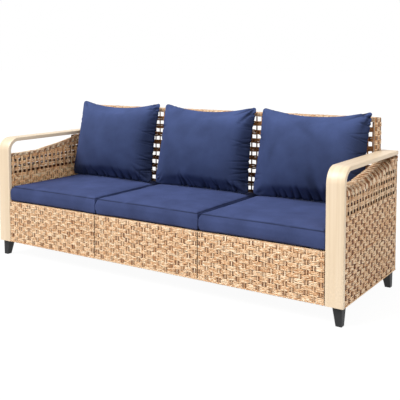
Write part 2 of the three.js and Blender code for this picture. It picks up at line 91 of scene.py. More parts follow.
# Wicker: strand sizes, then the weave's rhythm and shades
STRAND_WIDTH = 0.0071
STRAND_THICKNESS = 0.0022
STRAND_SIDES = 6
# How far inward a section's points face before they are painted in full shade.
STRAND_BACK = -0.1
STAKE_WIDTH = 0.0068
STAKE_THICKNESS = 0.0020
STAKE_PITCH = 0.0314
STAKE_RING_STEP = 0.04
PAIR_STRAND = 0.0064
PAIR_PITCH = 0.0068
ROW_PITCH = 0.0206
ROW_COVER = 1.02
RINGS_PER_STAKE = 6
BUNDLE = 3
BUNDLE_PINCH = 0.10
WEAVE_DEPTH = 0.0020
WALL_INSET = WEAVE_DEPTH + STRAND_THICKNESS / 2
BACKING_DEPTH = WALL_INSET + STAKE_THICKNESS / 4
CREST_SWELL = 0.25
DIP_SHARE = 0.27
ARM_DIP_SHARE = 0.25
PAIR_DIP_SHARE = 0.37
SLIT_SHADE = 0.78
ARM_SLIT_SHADE = 1.0
OPEN_SLIT_SHADE = 0.62
# Painted shade at the crossings: where it starts on the swing, and over what range it deepens.
PAINTED_SHADE_BELOW = 0.65
PAINTED_SHADE_RANGE = 0.9
ARM_LOOSE = 0.7
SPARE_CROSSINGS = 4
CROSSING_SHIFT = 0.055
CROSSING_SPREAD = (0.75, 1.25)
CROSSING_SHADE = (0.6, 1.35)
STRAY = 0.0008
STRAY_LENGTH = 0.012
TONE_RANGE = (0.36, 0.64)
TONE_WANDER = 0.13
GRAIN_PER_METRE = 28
GRAIN_ACROSS = 0.9
GRAIN_RANGE = 100
# The slot of a darker coat that stands for painted shade.
PAINTED_SHADE_SLOT = 1
# The slot of the lighter, warmer coat that paints light on the arms' inner walls.
PAINTED_LIGHT_SLOT = 2

# Panels: apron and lower back
PANEL_SEAM = 0.0020
APRON_STAKES = 19
BACK_STAKES = 57
BORDER_RADIUS = 0.0036
BORDER_TWIST = 0.024
BORDER_RINGS = 8
BORDER_WIDTH_SHARE = 1.5
BORDER_THICKNESS_SHARE = 1.2
BORDER_SHADE = 0.6
FOLD_STRANDS = 4
FOLD_RINGS = 60
FOLD_COVER = 0.98

# Arm: open rows and the sloping top
HOLE_WIDTH = 0.015
HOLE_HEIGHT = 0.0136
HOLE_FIRST = 0.028
HOLE_COLUMNS = 18
HOLE_ROW_FIRST = 0.4395
HOLE_ROW_PITCH = 0.0318
HOLE_ROW_STARTS = (0, 0, 0, 13, 16)
HOLE_BUNDLE = 2
ARM_CORNER = 0.009
REAR_STAKE_SHARES = (0.33, 0.67)
CORNER_STRANDS = 3
ROW_UNDER_FLAP_SHARE = 0.25
ROW_UNDER_EDGE = 0.0045
FLAP_DROP = 0.022
INNER_FLAP_DROP = 0.003
FLAP_LIFT = 0.0012
SLOPE_END = 0.222
SLOPE_SAMPLES = 400
STATION_DIGITS = 5
SAME_STATION = 1e-4
POST_CORNER = 0.004
POST_STAKES = 5

# Arm: the plait on its top
PLAIT_PITCH = 0.040
PLAIT_STRANDS = 8
PLAIT_RINGS = 20
PLAIT_LEAST_RINGS = 4
PLAIT_COVER = 1.04
PLAIT_LEAST_WIDTH = 0.4
PLAIT_LEAN = 0.050
PLAIT_FLAP_LEAN_SHARE = 0.3
PLAIT_SWAY = 0.0025
PLAIT_JITTER = 0.0012
PLAIT_STRAY = STRAY * 1.5
PLAIT_RISE = 0.0040
PLAIT_CREST_SHARES = (0.6, 0.4)
PLAIT_ARCH = 0.87
PLAIT_ARCH_END = 1.15
PLAIT_CLEARANCE = 0.0006
PLAIT_PAST_CENTRE = 0.006
PLAIT_EDGE = 0.0022
PLAIT_SHADE = 0.38
PLAIT_SHADE_BELOW = 0.45
PLAIT_TAIL = (0.7, 0.4)
PLAIT_FLECK = 0.27
PLAIT_TONE_SPREAD = 0.3

# Bent bands and eased edges
BAND_THICKNESS = 0.0185
BAND_RADIUS = 0.068
BAND_EDGE = 0.0035
BAND_BEND_STEPS = 28
BAND_SMOOTH = math.radians(40)
EASE_WIDTH = 0.0012
EASE_SEGMENTS = 2
EASE_ANGLE = math.radians(35)
SHEET_CORNER_POINTS = 5
OUTLINE_CORNER_POINTS = 4

# Back: lattice and wound frame
LATTICE_COLUMNS = 61
LATTICE_ROWS = 9
LATTICE_ROW_PITCH = 0.0433
LATTICE_HOLE = 0.021
LATTICE_STRAND = 0.0078
LATTICE_EDGE = 0.002
STRAP_SPREAD = 0.0007
WIND_PITCH = 0.0073
WIND_COVER = (0.96, 1.12)
WIND_END_SHARE = 0.4
WIND_WOBBLE = 0.00035
WIND_CORNER = 0.005
WIND_CORNER_LIMIT = 0.9
WIND_FLECK = 0.32

# Pillows: shape in a frame of their own, where U runs across and V upward, both from -1 to 1
CLOTH_FRAMES = 20
CLOTH_QUALITY = 4
LEAST_MOVE = 1e-9
PILLOW_GRID = (92, 70)
PILLOW_WIDTH = 0.570
PILLOW_HEIGHT = 0.447
PILLOW_FLARE = 0.006
PILLOW_FLARE_FROM = 0.3
PILLOW_DIP = 0.039
PILLOW_DIP_FROM = -0.2
PILLOW_ARCH = 0.006
PILLOW_ARCH_FROM = 0.2
PILLOW_FRONT = 0.090
PILLOW_BACK = 0.027
PILLOW_PROFILE = 0.76
PILLOW_CORNER = 0.014
PILLOW_CORNER_POWER = 20
PILLOW_PINCH = (0.003, 0.014)
PILLOW_HEAVY_SHARE = 0.10
PILLOW_LEAN = 0.218
PILLOW_FOOT = (0.150, 0.3709)
PILLOW_CAP = 0.018
PILLOW_RIM_CAP = 0.004
PILLOW_RIM_FROM = 0.7
PILLOW_BACK_CAP = 0.003
PILLOW_PRESSURE = 4.0
PILLOW_GROWTH = 0.03

# Pillows: folds and painted shades; a row of puckers is its side, count, reach, size, shade and shade's
# reach, the last two for the painted shade along that rim
PUCKERS = (
    ("bottom", 18, 0.075, 1.4, 1.0, 0.010),
    ("right", 22, 0.085, 0.85, 0.92, 0.055),
    ("left", 6, 0.07, 1.0, 0.12, 0.015),
    ("top", 6, 0.05, 1.0, 0.04, 0.010),
)
PUCKER_SPAN = (-0.85, 0.85)
PUCKER_TILT = 0.22
PUCKER_LENGTHS = (0.6, 1.3)
PUCKER_WIDTH = (0.004, 0.009)
PUCKER_DEPTH = (0.003, 0.0085)
PUCKER_START = 0.012
PUCKER_FADE = 1.2
PUCKER_FRONT = (0.004, -0.006)
PUCKER_BACK_SHARE = 0.2
PUCKER_SHADE_DEPTH = 0.005
PUCKER_SHADE = 0.65
PAINTED_RIM_SHADE_POWER = 1.6
RIGHT_SHADE_FROM_TOP = (0.02, 0.085)
# Painted shade, darker towards the bottom: each is a strength, then the shares of the height where it
# starts and ends.
LOWER_SHADES = ((0.39, 0.92, 0.60), (0.16, 0.50, 0.0))
CORNER_FOLDS = 3
CORNER_FOLD_SHARES = {"left": 0.5, "right": 1.3}
CORNER_FOLD_TURN = (0.35, 1.2)
CORNER_FOLD_START = (0.02, 0.05)
CORNER_FOLD_REACH = (0.09, 0.16)
CORNER_FOLD_WIDTH = 0.006
CORNER_FOLD_SPREAD = 0.06
# Painted shadow of the arm on the left pillow's lower outer corner: its strength, then its reach across
# and up.
END_SHADE = 0.8
END_SHADE_REACH = (0.13, 0.12)
DENTS = 12
DENT_DEPTH = 0.0013
DENT_SIZE = (0.018, 0.035)
DENT_LENGTH = 3.5
DENT_SPAN = (-0.8, 0.8)
DENT_RISE = (0.1, 0.9)

# Seats: swollen from their solids
SEAT_VOXEL = 0.006
SEAT_THICKNESS = 0.081
SEAT_START_SHARES = (1.002, 0.998, 0.92)
SEAT_CAP = 0.006
SEAT_PRESSURE = 4.0
SEAT_GAP = 0.0006
SEAT_CORNER_REACH = 0.014
SEAT_CORNER_SQUARE = 0.45
SEAT_FACE = (0.5, 0.9)
SEAT_DENTS = 10
SEAT_DENT_DEPTH = 0.0009
SEAT_DENT_SIZE = (0.03, 0.06)
SEAT_DENT_LENGTH = 3
# Painted shade on the seat cushions' upright sides.
SEAT_SIDE_SHADE = 0.14
SEAM_WIDTH = 0.0030
SEAM_DEPTH = 0.0014
SEAM_INSET = 0.004
SEAM_SIDE = (0.3, 0.8)
SEAM_RIM = (0.8, 0.9)
# How dark the cloth's painted shade can get, as a share of its colour.
DARKEST_PAINTED_SHADE_SHARE = 0.12


# Materials: the wave scale of a cloth's threads, their slant, and a colour Mix node's sockets
THREAD_SCALE = 260
THREAD_SLANT = (1, 0.72, 0.72)
MIX_SOCKETS = (0, 6, 7)


class Graph:
    """The nodes of a new material or world."""

    def __init__(self, name, kind="materials"):
        self.owner = getattr(bpy.data, kind).new(name)
        self.owner.use_nodes = True
        self.tree = self.owner.node_tree
        self.shader = self.tree.nodes.get("Principled BSDF")

    def add(self, kind, inputs=None, **settings):
        node = self.tree.nodes.new(kind)
        for key, value in settings.items():
            setattr(node, key, value)
        for key, value in (inputs or {}).items():
            self.feed(node.inputs[key], value)
        return node

    def feed(self, socket, value):
        if isinstance(value, bpy.types.NodeSocket):
            self.tree.links.new(value, socket)
        else:
            socket.default_value = value

    def shade(self, **inputs):
        """Feeds the shader's sockets, each by its name in lower case."""
        for key, value in inputs.items():
            name = key.replace("_", " ").title().replace("Ior", "IOR")
            self.feed(self.shader.inputs[name], value)

    def place(self, scale=(1, 1, 1)):
        spot = self.add("ShaderNodeTexCoord")
        mapping = self.add("ShaderNodeMapping", {"Vector": spot.outputs["Object"], "Scale": scale})
        return mapping.outputs["Vector"]

    def attribute(self, name, output="Fac"):
        return self.add("ShaderNodeAttribute", attribute_name=name).outputs[output]

    def noise(self, vector, scale, detail=2.0, roughness=0.5):
        inputs = {"Vector": vector, "Scale": scale, "Detail": detail, "Roughness": roughness}
        return self.add("ShaderNodeTexNoise", inputs).outputs["Fac"]

    def wave(self, vector, scale, direction):
        inputs = {"Vector": vector, "Scale": scale, "Distortion": 0.0}
        return self.add("ShaderNodeTexWave", inputs, bands_direction=direction).outputs["Fac"]

    def maths(self, operation, *values):
        inputs = dict(enumerate(values))
        return self.add("ShaderNodeMath", inputs, operation=operation).outputs[0]

    def blend(self, share, first, second):
        """One factor's share and the rest of the other factor."""
        return self.maths("MULTIPLY_ADD", first, share, self.maths("MULTIPLY", second, 1 - share))

    def ramp(self, factor, *stops):
        """A colour by factor; each stop is a factor and its colour."""
        node = self.add("ShaderNodeValToRGB", {"Fac": factor})
        points = node.color_ramp.elements
        while len(points) < len(stops):
            points.new(0.5)
        for point, (position, colour) in zip(points, stops):
            point.position = position
            point.color = (*colour, 1)
        return node.outputs["Color"]

    def spread(self, factor, low, high):
        """A factor from 0 to 1 as a number from low to high."""
        inputs = {"Value": factor, "To Min": low, "To Max": high}
        return self.add("ShaderNodeMapRange", inputs).outputs["Result"]

    def mix(self, factor, first, second):
        """From the first colour to the second by factor."""
        inputs = dict(zip(MIX_SOCKETS, (factor, first, (*second, 1))))
        return self.add("ShaderNodeMix", inputs, data_type="RGBA").outputs[2]

    def bump(self, height, strength, distance):
        inputs = {"Height": height, "Strength": strength, "Distance": distance}
        node = self.add("ShaderNodeBump", inputs)
        self.feed(self.shader.inputs["Normal"], node.outputs["Normal"])

    def backdrop(self):
        """1 for rays that show the background, to the camera or in gloss or glass, and 0 for light."""
        path = self.add("ShaderNodeLightPath").outputs
        seen = self.maths("MAXIMUM", path["Is Camera Ray"], path["Is Glossy Ray"])
        return self.maths("MAXIMUM", seen, path["Is Transmission Ray"])


def linear(red, green, blue):
    """A colour read as 0 to 255 on screen, as the shader takes it."""
    shares = (value / 255 for value in (red, green, blue))
    return tuple(v / 12.92 if v < 0.04045 else ((v + 0.055) / 1.055) ** 2.4 for v in shares)


def wicker(name, dark, middle, light):
    """Resin strand: its own tone and streaks along it; painted shade darkens it where it dives behind a
    stake and on its inward faces.
    """
    graph = Graph(name)
    strand = graph.attribute("strand", "Vector")
    streaks = graph.noise(strand, scale=2.2, detail=3.0, roughness=0.65)
    fibre = graph.add("ShaderNodeMapping", {"Vector": strand, "Scale": (1.5, 7, 1)}).outputs["Vector"]
    lines = graph.noise(fibre, scale=1.0)
    mixed = graph.blend(0.70, streaks, graph.attribute("tone"))
    colour = graph.ramp(mixed, (0.36, dark), (0.50, middle), (0.63, light))
    # Painted shade: the colour turns toward a dark brown where the strand dives behind a stake or faces
    # inward; the windings' random flecks use the same attribute.
    painted_strand_shade_and_fleck = graph.spread(graph.attribute("painted_strand_shade_and_fleck"), low=0.0, high=0.85)
    graph.shade(
        base_color=graph.mix(painted_strand_shade_and_fleck, colour, PAINTED_SHADE_AND_FLECK_BROWN),
        roughness=graph.spread(lines, low=0.42, high=0.66),
        specular_ior_level=0.35,
    )
    graph.bump(graph.maths("ADD", streaks, lines), strength=0.35, distance=0.0006)
    return graph.owner


def wood_grain():
    """Pale wood-grain coat on the bent bands: fine lines along the band, broad soft streaks."""
    graph = Graph("pale_wood_grain")
    lines = graph.noise(graph.place((260, 2.2, 2.2)), scale=1.0, detail=3.0, roughness=0.62)
    broad = graph.noise(graph.place((46, 1.1, 1.1)), scale=1.0)
    tones = zip((0.34, 0.52, 0.70), (linear(224, 200, 168), linear(232, 210, 180), linear(238, 218, 191)))
    graph.shade(
        base_color=graph.ramp(graph.blend(0.45, lines, broad), *tones),
        roughness=graph.spread(lines, low=0.30, high=0.46),
        specular_ior_level=0.5,
    )
    graph.bump(lines, strength=0.10, distance=0.0004)
    return graph.owner


def cloth(name, shade):
    """Plain-weave outdoor cloth: two crossing sets of threads, faded patches and a soft sheen; a point
    attribute darkens it with painted shade.
    """
    graph = Graph(name)
    spot = graph.place()
    across = graph.wave(spot, THREAD_SCALE, "X")
    upward = graph.wave(graph.place(THREAD_SLANT), THREAD_SCALE, "DIAGONAL")
    threads = graph.maths("MULTIPLY", across, upward)
    patches = graph.noise(spot, scale=9.0, detail=3.0)
    fleck = graph.noise(spot, scale=420.0, detail=1.0)
    # The third colour is the darkest that the painted shade reaches.
    low, high, seam = (tuple(np.array(shade) * share) for share in (0.75, 1.25, DARKEST_PAINTED_SHADE_SHARE))
    plain = graph.ramp(graph.blend(0.7, patches, fleck), (0.3, low), (0.7, high))
    graph.shade(
        base_color=graph.mix(graph.spread(graph.attribute("painted_cloth_shade"), low=0.0, high=0.9), plain, seam),
        roughness=graph.spread(fleck, low=0.78, high=0.92),
        sheen_weight=0.12,
        sheen_roughness=0.5,
        sheen_tint=(*linear(120, 140, 220), 1),
        specular_ior_level=0.12,
    )
    relief = graph.maths("ADD", threads, graph.maths("MULTIPLY", patches, 0.6))
    graph.bump(relief, strength=0.25, distance=0.0004)
    return graph.owner


def coated(name, low, high, roughness, grain, metallic=0.0):
    """Powder coat or plating: fine orange-peel relief and a slight change of tone."""
    graph = Graph(name)
    spot = graph.place()
    peel = graph.noise(spot, scale=grain)
    graph.shade(
        base_color=graph.ramp(graph.noise(spot, scale=14.0), (0.3, low), (0.7, high)),
        roughness=graph.spread(peel, roughness - 0.08, roughness + 0.08),
        metallic=metallic,
    )
    graph.bump(peel, strength=0.12, distance=0.0003)
    return graph.owner


def webbing():
    """Dark straps with ribs across them."""
    graph = Graph("dark_webbing")
    ribs = graph.wave(graph.place(), 90, "DIAGONAL")
    fleck = graph.noise(graph.place(), scale=300.0)
    graph.shade(
        base_color=graph.ramp(fleck, (0.3, linear(38, 32, 28)), (0.7, linear(66, 56, 48))),
        roughness=graph.spread(fleck, low=0.7, high=0.9),
    )
    graph.bump(ribs, strength=0.4, distance=0.0006)
    return graph.owner


# Dark brown of the wicker's painted shade, and of the windings' random flecks.
PAINTED_SHADE_AND_FLECK_BROWN = linear(96, 42, 12)
wicker_tan = wicker("wicker_tan", linear(178, 118, 70), linear(229, 187, 143), linear(254, 236, 206))
# A darker copy of the tan wicker, painted shade, for the lattice behind the pillows and the posts'
# stakes.
wicker_back = wicker("wicker_back", linear(122, 74, 38), linear(172, 116, 68), linear(208, 154, 98))
# A dark brown coat for stakes and backing strands: painted deep shade.
wicker_painted_deep_shade = wicker("wicker_painted_deep_shade", linear(92, 48, 22), linear(116, 64, 32), linear(140, 84, 46))
# A lighter, warmer copy of the tan wicker for the arms' inner walls: painted bounce light.
wicker_warm = wicker("wicker_warm", linear(198, 128, 74), linear(250, 197, 142), linear(255, 240, 202))
navy_seat = cloth("navy_cloth_seat", linear(64, 75, 115))
navy_pillow = cloth("navy_cloth_pillow", linear(68, 82, 125))
band_coat = wood_grain()
frame_coat = coated("brown_powder_coat", linear(96, 74, 56), linear(116, 92, 70), 0.5, 900.0)
leg_coat = coated("black_powder_coat", linear(12, 12, 13), linear(24, 24, 26), 0.62, 900.0)
zinc_plate = coated("zinc_plate", linear(170, 172, 174), linear(196, 198, 200), 0.35, 500.0, 1.0)
deck_strap = webbing()


# Mesh code

def add_object(name, data):
    thing = bpy.data.objects.new(name, data)
    bpy.context.scene.collection.objects.link(thing)
    return thing


def new_mesh(name, points, faces):
    mesh = bpy.data.meshes.new(name)
    mesh.from_pydata(points, [], faces)
    mesh.update()
    return mesh


def dress(piece, materials, slot, *replaced):
    for material in materials:
        piece.data.materials.append(material)
    if replaced:
        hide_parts(*replaced)
    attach(piece, BODY)


def unit(vectors):
    """Each row at a length of 1."""
    return vectors / np.linalg.norm(vectors, axis=1)[:, None]


def tube_quads(rings, sides):
    """The faces that join each ring of points to the next."""
    ring = np.arange(rings - 1)[:, None] * sides
    side = np.arange(sides)[None, :]
    after = (side + 1) % sides
    quads = [ring + side, ring + after, ring + sides + after, ring + sides + side]
    return np.stack(quads, -1).reshape(-1, 4)


def wander(count):
    """A strand's tone from point to point, about a tone of its own."""
    return rng.uniform(*TONE_RANGE) + rng.normal(0, TONE_WANDER, count)


def stray(along, size):
    """A random wander along a strand, a new value every few millimetres."""
    knots = max(int((along[-1] - along[0]) / STRAY_LENGTH), 2)
    values = rng.normal(0, size, knots + 1)
    return np.interp(np.linspace(0, knots, len(along)), np.arange(knots + 1), values)


class Strands:
    """Gathers strands with a flat rounded section and makes one woven piece of them."""

    POINT_DATA = (
        ("strand", "FLOAT_VECTOR", "vector"), ("tone", "FLOAT", "value"), ("painted_strand_shade_and_fleck", "FLOAT", "value")
    )

    def __init__(self):
        self.parts = []
        self.count = 0

    def lay(
        self, centre, across, outward, width,
        thickness=STRAND_THICKNESS, tone=None, painted_strand_shade_and_fleck=0.0, slot=0, painted_inner_shade=False,
    ):
        rings = len(centre)
        turn = np.arange(STRAND_SIDES) * 2 * np.pi / STRAND_SIDES
        wide = np.cos(turn)[None, :, None] * np.asarray(width * across / 2).reshape(-1, 1, 3)
        deep = np.sin(turn)[None, :, None] * np.asarray(thickness * outward / 2).reshape(-1, 1, 3)
        steps = np.linalg.norm(np.diff(centre, axis=0), axis=1)
        along = np.repeat(np.concatenate([[0], np.cumsum(steps)]), STRAND_SIDES)
        lines = np.tile(np.cos(turn), rings) * GRAIN_ACROSS
        identity = np.full(rings * STRAND_SIDES, rng.uniform(0, GRAIN_RANGE))
        tones = wander(rings) if tone is None else np.full(rings, tone)
        # Painted shade per point; the inward faces of the section can be painted fully shaded, as if in
        # the shadow inside the weave.
        depth = np.repeat(np.broadcast_to(painted_strand_shade_and_fleck, rings), STRAND_SIDES)
        if painted_inner_shade:
            depth = np.maximum(depth, np.tile(np.where(np.sin(turn) < STRAND_BACK, 1.0, 0.0), rings))
        slots = np.broadcast_to(slot, rings - 1)
        last = (rings - 1) * STRAND_SIDES
        ends = [np.arange(STRAND_SIDES)[::-1], np.arange(STRAND_SIDES) + last]
        self.parts.append(
            {
                "points": (centre[:, None, :] + wide + deep).reshape(-1, 3),
                "quads": tube_quads(rings, STRAND_SIDES) + self.count,
                "ends": np.array(ends) + self.count,
                "strand": np.stack([along * GRAIN_PER_METRE, lines, identity], -1),
                "tone": np.repeat(tones, STRAND_SIDES),
                "painted_strand_shade_and_fleck": depth,
                "slots": np.repeat(slots, STRAND_SIDES),
                "end_slots": slots[[0, -1]],
            }
        )
        self.count += rings * STRAND_SIDES

    def all(self, key):
        return np.concatenate([part[key] for part in self.parts])

    def mesh(self, name):
        quads, ends = self.all("quads"), self.all("ends")
        corners = np.concatenate([quads.ravel(), ends.ravel()])
        quad_starts = np.arange(len(quads)) * 4
        end_starts = len(quads) * 4 + np.arange(len(ends)) * STRAND_SIDES
        starts = np.concatenate([quad_starts, end_starts])
        slots = np.concatenate([self.all("slots"), self.all("end_slots")])
        mesh = bpy.data.meshes.new(name)
        mesh.vertices.add(self.count)
        mesh.vertices.foreach_set("co", self.all("points").astype(np.float32).ravel())
        mesh.loops.add(len(corners))
        mesh.loops.foreach_set("vertex_index", corners.astype(np.int32))
        mesh.polygons.add(len(starts))
        mesh.polygons.foreach_set("loop_start", starts.astype(np.int32))
        mesh.update(calc_edges=True)
        mesh.polygons.foreach_set("material_index", slots.astype(np.int32))
        mesh.polygons.foreach_set("use_smooth", np.ones(len(starts), bool))
        for key, kind, field in self.POINT_DATA:
            values = self.all(key).astype(np.float32)
            mesh.attributes.new(key, kind, "POINT").data.foreach_set(field, values.ravel())
        mesh.validate()
        return mesh

    def link(self, name, materials, *replaced):
        dress(add_object(name, self.mesh(name)), materials, "woven", *replaced)


class Sheet:
    """An upright sheet over a line on plan, with its outside on the right of the line's direction."""

    def __init__(self, corners, radius=0.0):
        points = [np.array(corner, float) for corner in corners]
        line = [points[0]]
        for before, corner, after in zip(points, points[1:], points[2:]):
            into, out = unit(np.array([before - corner, after - corner]))
            centre = corner + (into + out) * radius
            for angle in np.linspace(0, np.pi / 2, SHEET_CORNER_POINTS):
                line.append(centre - out * radius * np.cos(angle) - into * radius * np.sin(angle))
        line.append(points[-1])
        self.line = np.array(line)
        steps = np.diff(self.line, axis=0)
        lengths = np.linalg.norm(steps, axis=1)
        self.at = np.concatenate([[0], np.cumsum(lengths)])
        self.length = self.at[-1]
        self.heading = unit(steps)
        self.middle = (self.at[1:] + self.at[:-1]) / 2
        self.bend = radius * np.pi / 2
        self.flats = [(self.at[step], self.at[step + 1]) for step in np.flatnonzero(lengths > radius)]

    def places(self, along, height, offset):
        """Points along the sheet, moved outward by an offset, and the outward directions there."""
        count = len(along)
        x, y = (np.interp(along, self.at, values) for values in self.line.T)
        heading = unit(np.stack([np.interp(along, self.middle, values) for values in self.heading.T], -1))
        outward = np.stack([heading[:, 1], -heading[:, 0], np.zeros(count)], -1)
        base = np.stack([x, y, np.broadcast_to(height, count)], -1)
        return base + outward * np.broadcast_to(offset, count)[:, None], outward


UP = np.array([0.0, 0.0, 1.0])
TO_REAR = np.array([0.0, 1.0, 0.0])


class Weave:
    """The stakes that a sheet's rows go over and under; in one stretch the rows take a lighter, warmer
    coat, which is painted light.
    """

    def __init__(
        self, sheet, first_stake, pitch, dip=DIP_SHARE, shade=SLIT_SHADE, loose=1.0, warm=(0, 0)
    ):
        self.sheet, self.first_stake, self.pitch = sheet, first_stake, pitch
        self.dip, self.shade, self.loose, self.warm = dip, shade, loose, warm

    def start_row(self):
        """Draws how far this row's crossings lie off their stakes, how wide they are and how dark their
        painted shade is.
        """
        count = int(self.sheet.length / self.pitch) + SPARE_CROSSINGS
        self.shifts = rng.normal(0, CROSSING_SHIFT, count) * self.loose
        self.spreads = 1 + (rng.uniform(*CROSSING_SPREAD, count) - 1) * self.loose
        self.shades = 1 + (rng.uniform(*CROSSING_SHADE, count) - 1) * self.loose

    def crossing(self, along, row):
        """1 over a stake, -1 close to those that the row goes under; and how dark the painted shade is
        there.
        """
        turn = (along - self.first_stake) / self.pitch + row
        number = np.round((turn - 1) / 2)
        spot = (number.astype(int) - row // 2) % len(self.shifts)
        away = np.abs((turn - 1) - 2 * number + self.shifts[spot])
        crest = CREST_SWELL * (np.cos(np.pi * turn) - 1) / 2
        swing = 1 + crest - 2 * np.exp(-((away / self.dip / self.spreads[spot]) ** 2))
        return swing, self.shades[spot]

    def whole(self, level):
        """The one stretch of a row that runs from end to end, at every level."""
        return [(PANEL_SEAM, self.sheet.length - PANEL_SEAM)]


def lay_row(strands, weave, height, stretches, row, width, count=BUNDLE, painted_inner_shade=True):
    """One bundle of strands over and under the stakes; stretches gives each strand's runs by height."""
    weave.start_row()
    for place in range(count):
        offset = (place - (count - 1) / 2) * width
        for start, end in stretches(height + offset):
            rings = max(int(round((end - start) / weave.pitch * RINGS_PER_STAKE)), 2) + 1
            along = np.linspace(start, end, rings)
            swing, shade = weave.crossing(along, row)
            level = height + offset * (1 - BUNDLE_PINCH * (1 - swing) / 2) + stray(along, STRAY)
            depth = WEAVE_DEPTH * swing + stray(along, STRAY / 2)
            centre, outward = weave.sheet.places(along, level, depth)
            # Painted shade where the strand dives behind a stake.
            painted_strand_shade_and_fleck = np.clip((PAINTED_SHADE_BELOW - swing) / PAINTED_SHADE_RANGE, 0, weave.shade) * shade
            # Painted light: along one stretch the rows take the lighter, warmer coat.
            between = (along[1:] + along[:-1]) / 2
            slot = np.where((between > weave.warm[0]) & (between < weave.warm[1]), PAINTED_LIGHT_SLOT, 0)
            look = {"painted_strand_shade_and_fleck": np.clip(painted_strand_shade_and_fleck, 0, 1), "slot": slot, "painted_inner_shade": painted_inner_shade}
            strands.lay(centre, UP, outward, width * ROW_COVER, **look)


def lay_rows(strands, weave, low, high):
    """Rows from end to end that fill a sheet between two heights."""
    heights, step = rows_between(low, high)
    for row, height in enumerate(heights):
        lay_row(strands, weave, height, weave.whole, row, step / BUNDLE)


def rows_between(low, high):
    count = max(int(round((high - low) / ROW_PITCH)), 1)
    step = (high - low) / count
    return [low + step * (place + 0.5) for place in range(count)], step


def lay_upright(
    strands, sheet, along, low, high, width=STAKE_WIDTH, offset=0.0,
    thickness=STAKE_THICKNESS, slot=0, painted_inner_shade=True,
):
    rings = max(int(round((high - low) / STAKE_RING_STEP)), 2)
    height = np.linspace(low, high, rings)
    centre, outward = sheet.places(np.full(rings, along), height, offset)
    across = np.cross(outward, UP)
    strands.lay(centre, across, outward, width, thickness, slot=slot, painted_inner_shade=painted_inner_shade)


def lay_border(strands, sheet, low):
    """Two strands twisted round each other along a sheet's lower edge."""
    rings = int(sheet.length / BORDER_TWIST * BORDER_RINGS) + 1
    along = np.linspace(0, sheet.length, rings)
    radius = BORDER_RADIUS
    for half in (0, 1):
        angle = 2 * np.pi * along / BORDER_TWIST + half * np.pi
        height = low + radius + radius * np.sin(angle) / 2
        centre, outward = sheet.places(along, height, WEAVE_DEPTH / 2 + radius * np.cos(angle) / 2)
        # Painted shade on the half of each turn that lies behind the other strand.
        painted_strand_shade_and_fleck = np.clip(-np.cos(angle), 0, 1) * BORDER_SHADE
        width, thickness = radius * BORDER_WIDTH_SHARE, radius * BORDER_THICKNESS_SHARE
        strands.lay(centre, UP, outward, width, thickness, painted_strand_shade_and_fleck=painted_strand_shade_and_fleck)


def back_closed_rows(strands, sheet, low, high, pitch):
    """Wide dark strands behind a closed weave's flat stretches, where its stakes are doubled; their dark
    coat paints the shade seen through the weave's gaps.
    """
    thickness = STAKE_THICKNESS / 2
    for start, end in sheet.flats:
        count = max(int(round((end - start) / pitch)), 1)
        step = (end - start) / count
        for place in range(count):
            along = start + (place + 0.5) * step
            width = step * ROW_COVER
            lay_upright(strands, sheet, along, low, high, width, -BACKING_DEPTH, thickness, PAINTED_SHADE_SLOT)


# Apron, back and arm weaves

def weave_panel(name, corners, low, high, stakes, replaced):
    """A closed plain weave with a twisted border along its lower edge."""
    sheet = Sheet(corners)
    strands = Strands()
    pitch = sheet.length / stakes
    lay_rows(strands, Weave(sheet, pitch / 2, pitch), low + BORDER_RADIUS * 2, high)
    for stake in range(stakes):
        lay_upright(strands, sheet, (stake + 0.5) * pitch, low, high)
    back_closed_rows(strands, sheet, low, high, pitch)
    lay_border(strands, sheet, low)
    strands.link(name, [wicker_tan, wicker_painted_deep_shade], replaced)


def make_aprons():
    for label in PLACES:
        node = f"{label}_apron_weave"
        low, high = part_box(node)
        line = low.y + WALL_INSET
        corners = [(low.x, line), (high.x, line)]
        weave_panel(f"{label}_apron_strands", corners, low.z, high.z, APRON_STAKES, node)
        fold = Strands()
        for level, outward in ((high.z, UP), (low.z, -UP)):
            add_fold(fold, (low.x, high.x), (line, high.y), level, outward)
        fold.link(f"{label}_apron_fold", [wicker_tan])


def add_fold(strands, x_range, y_range, level, outward):
    """The weave's level return over or under a rail."""
    width = (y_range[1] - y_range[0]) / FOLD_STRANDS
    x = np.linspace(*x_range, FOLD_RINGS)
    z = np.full(FOLD_RINGS, level) - outward[2] * STRAND_THICKNESS / 2
    for place in range(FOLD_STRANDS):
        y = y_range[0] + (place + 0.5) * width
        centre = np.stack([x, y + stray(x, STRAY / 2), z], -1)
        strands.lay(centre, TO_REAR, outward, width * FOLD_COVER)


def make_back_lower():
    node = "back_lower_weave"
    low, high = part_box(node)
    line = high.y - WALL_INSET
    corners = [(high.x, line), (low.x, line)]
    weave_panel("back_lower_strands", corners, low.z, high.z, BACK_STAKES, node)


def arm_top_line(side):
    """Height of the arm's top against Y, read from the braid's solid."""
    mesh = frame["nodes"][f"{side}_arm_border_braid"].data
    points = np.array([vertex.co for vertex in mesh.vertices])
    stations = np.unique(points[:, 1].round(STATION_DIGITS))
    heights = [points[np.abs(points[:, 1] - station) < SAME_STATION, 2].max() for station in stations]
    return stations, np.array(heights)


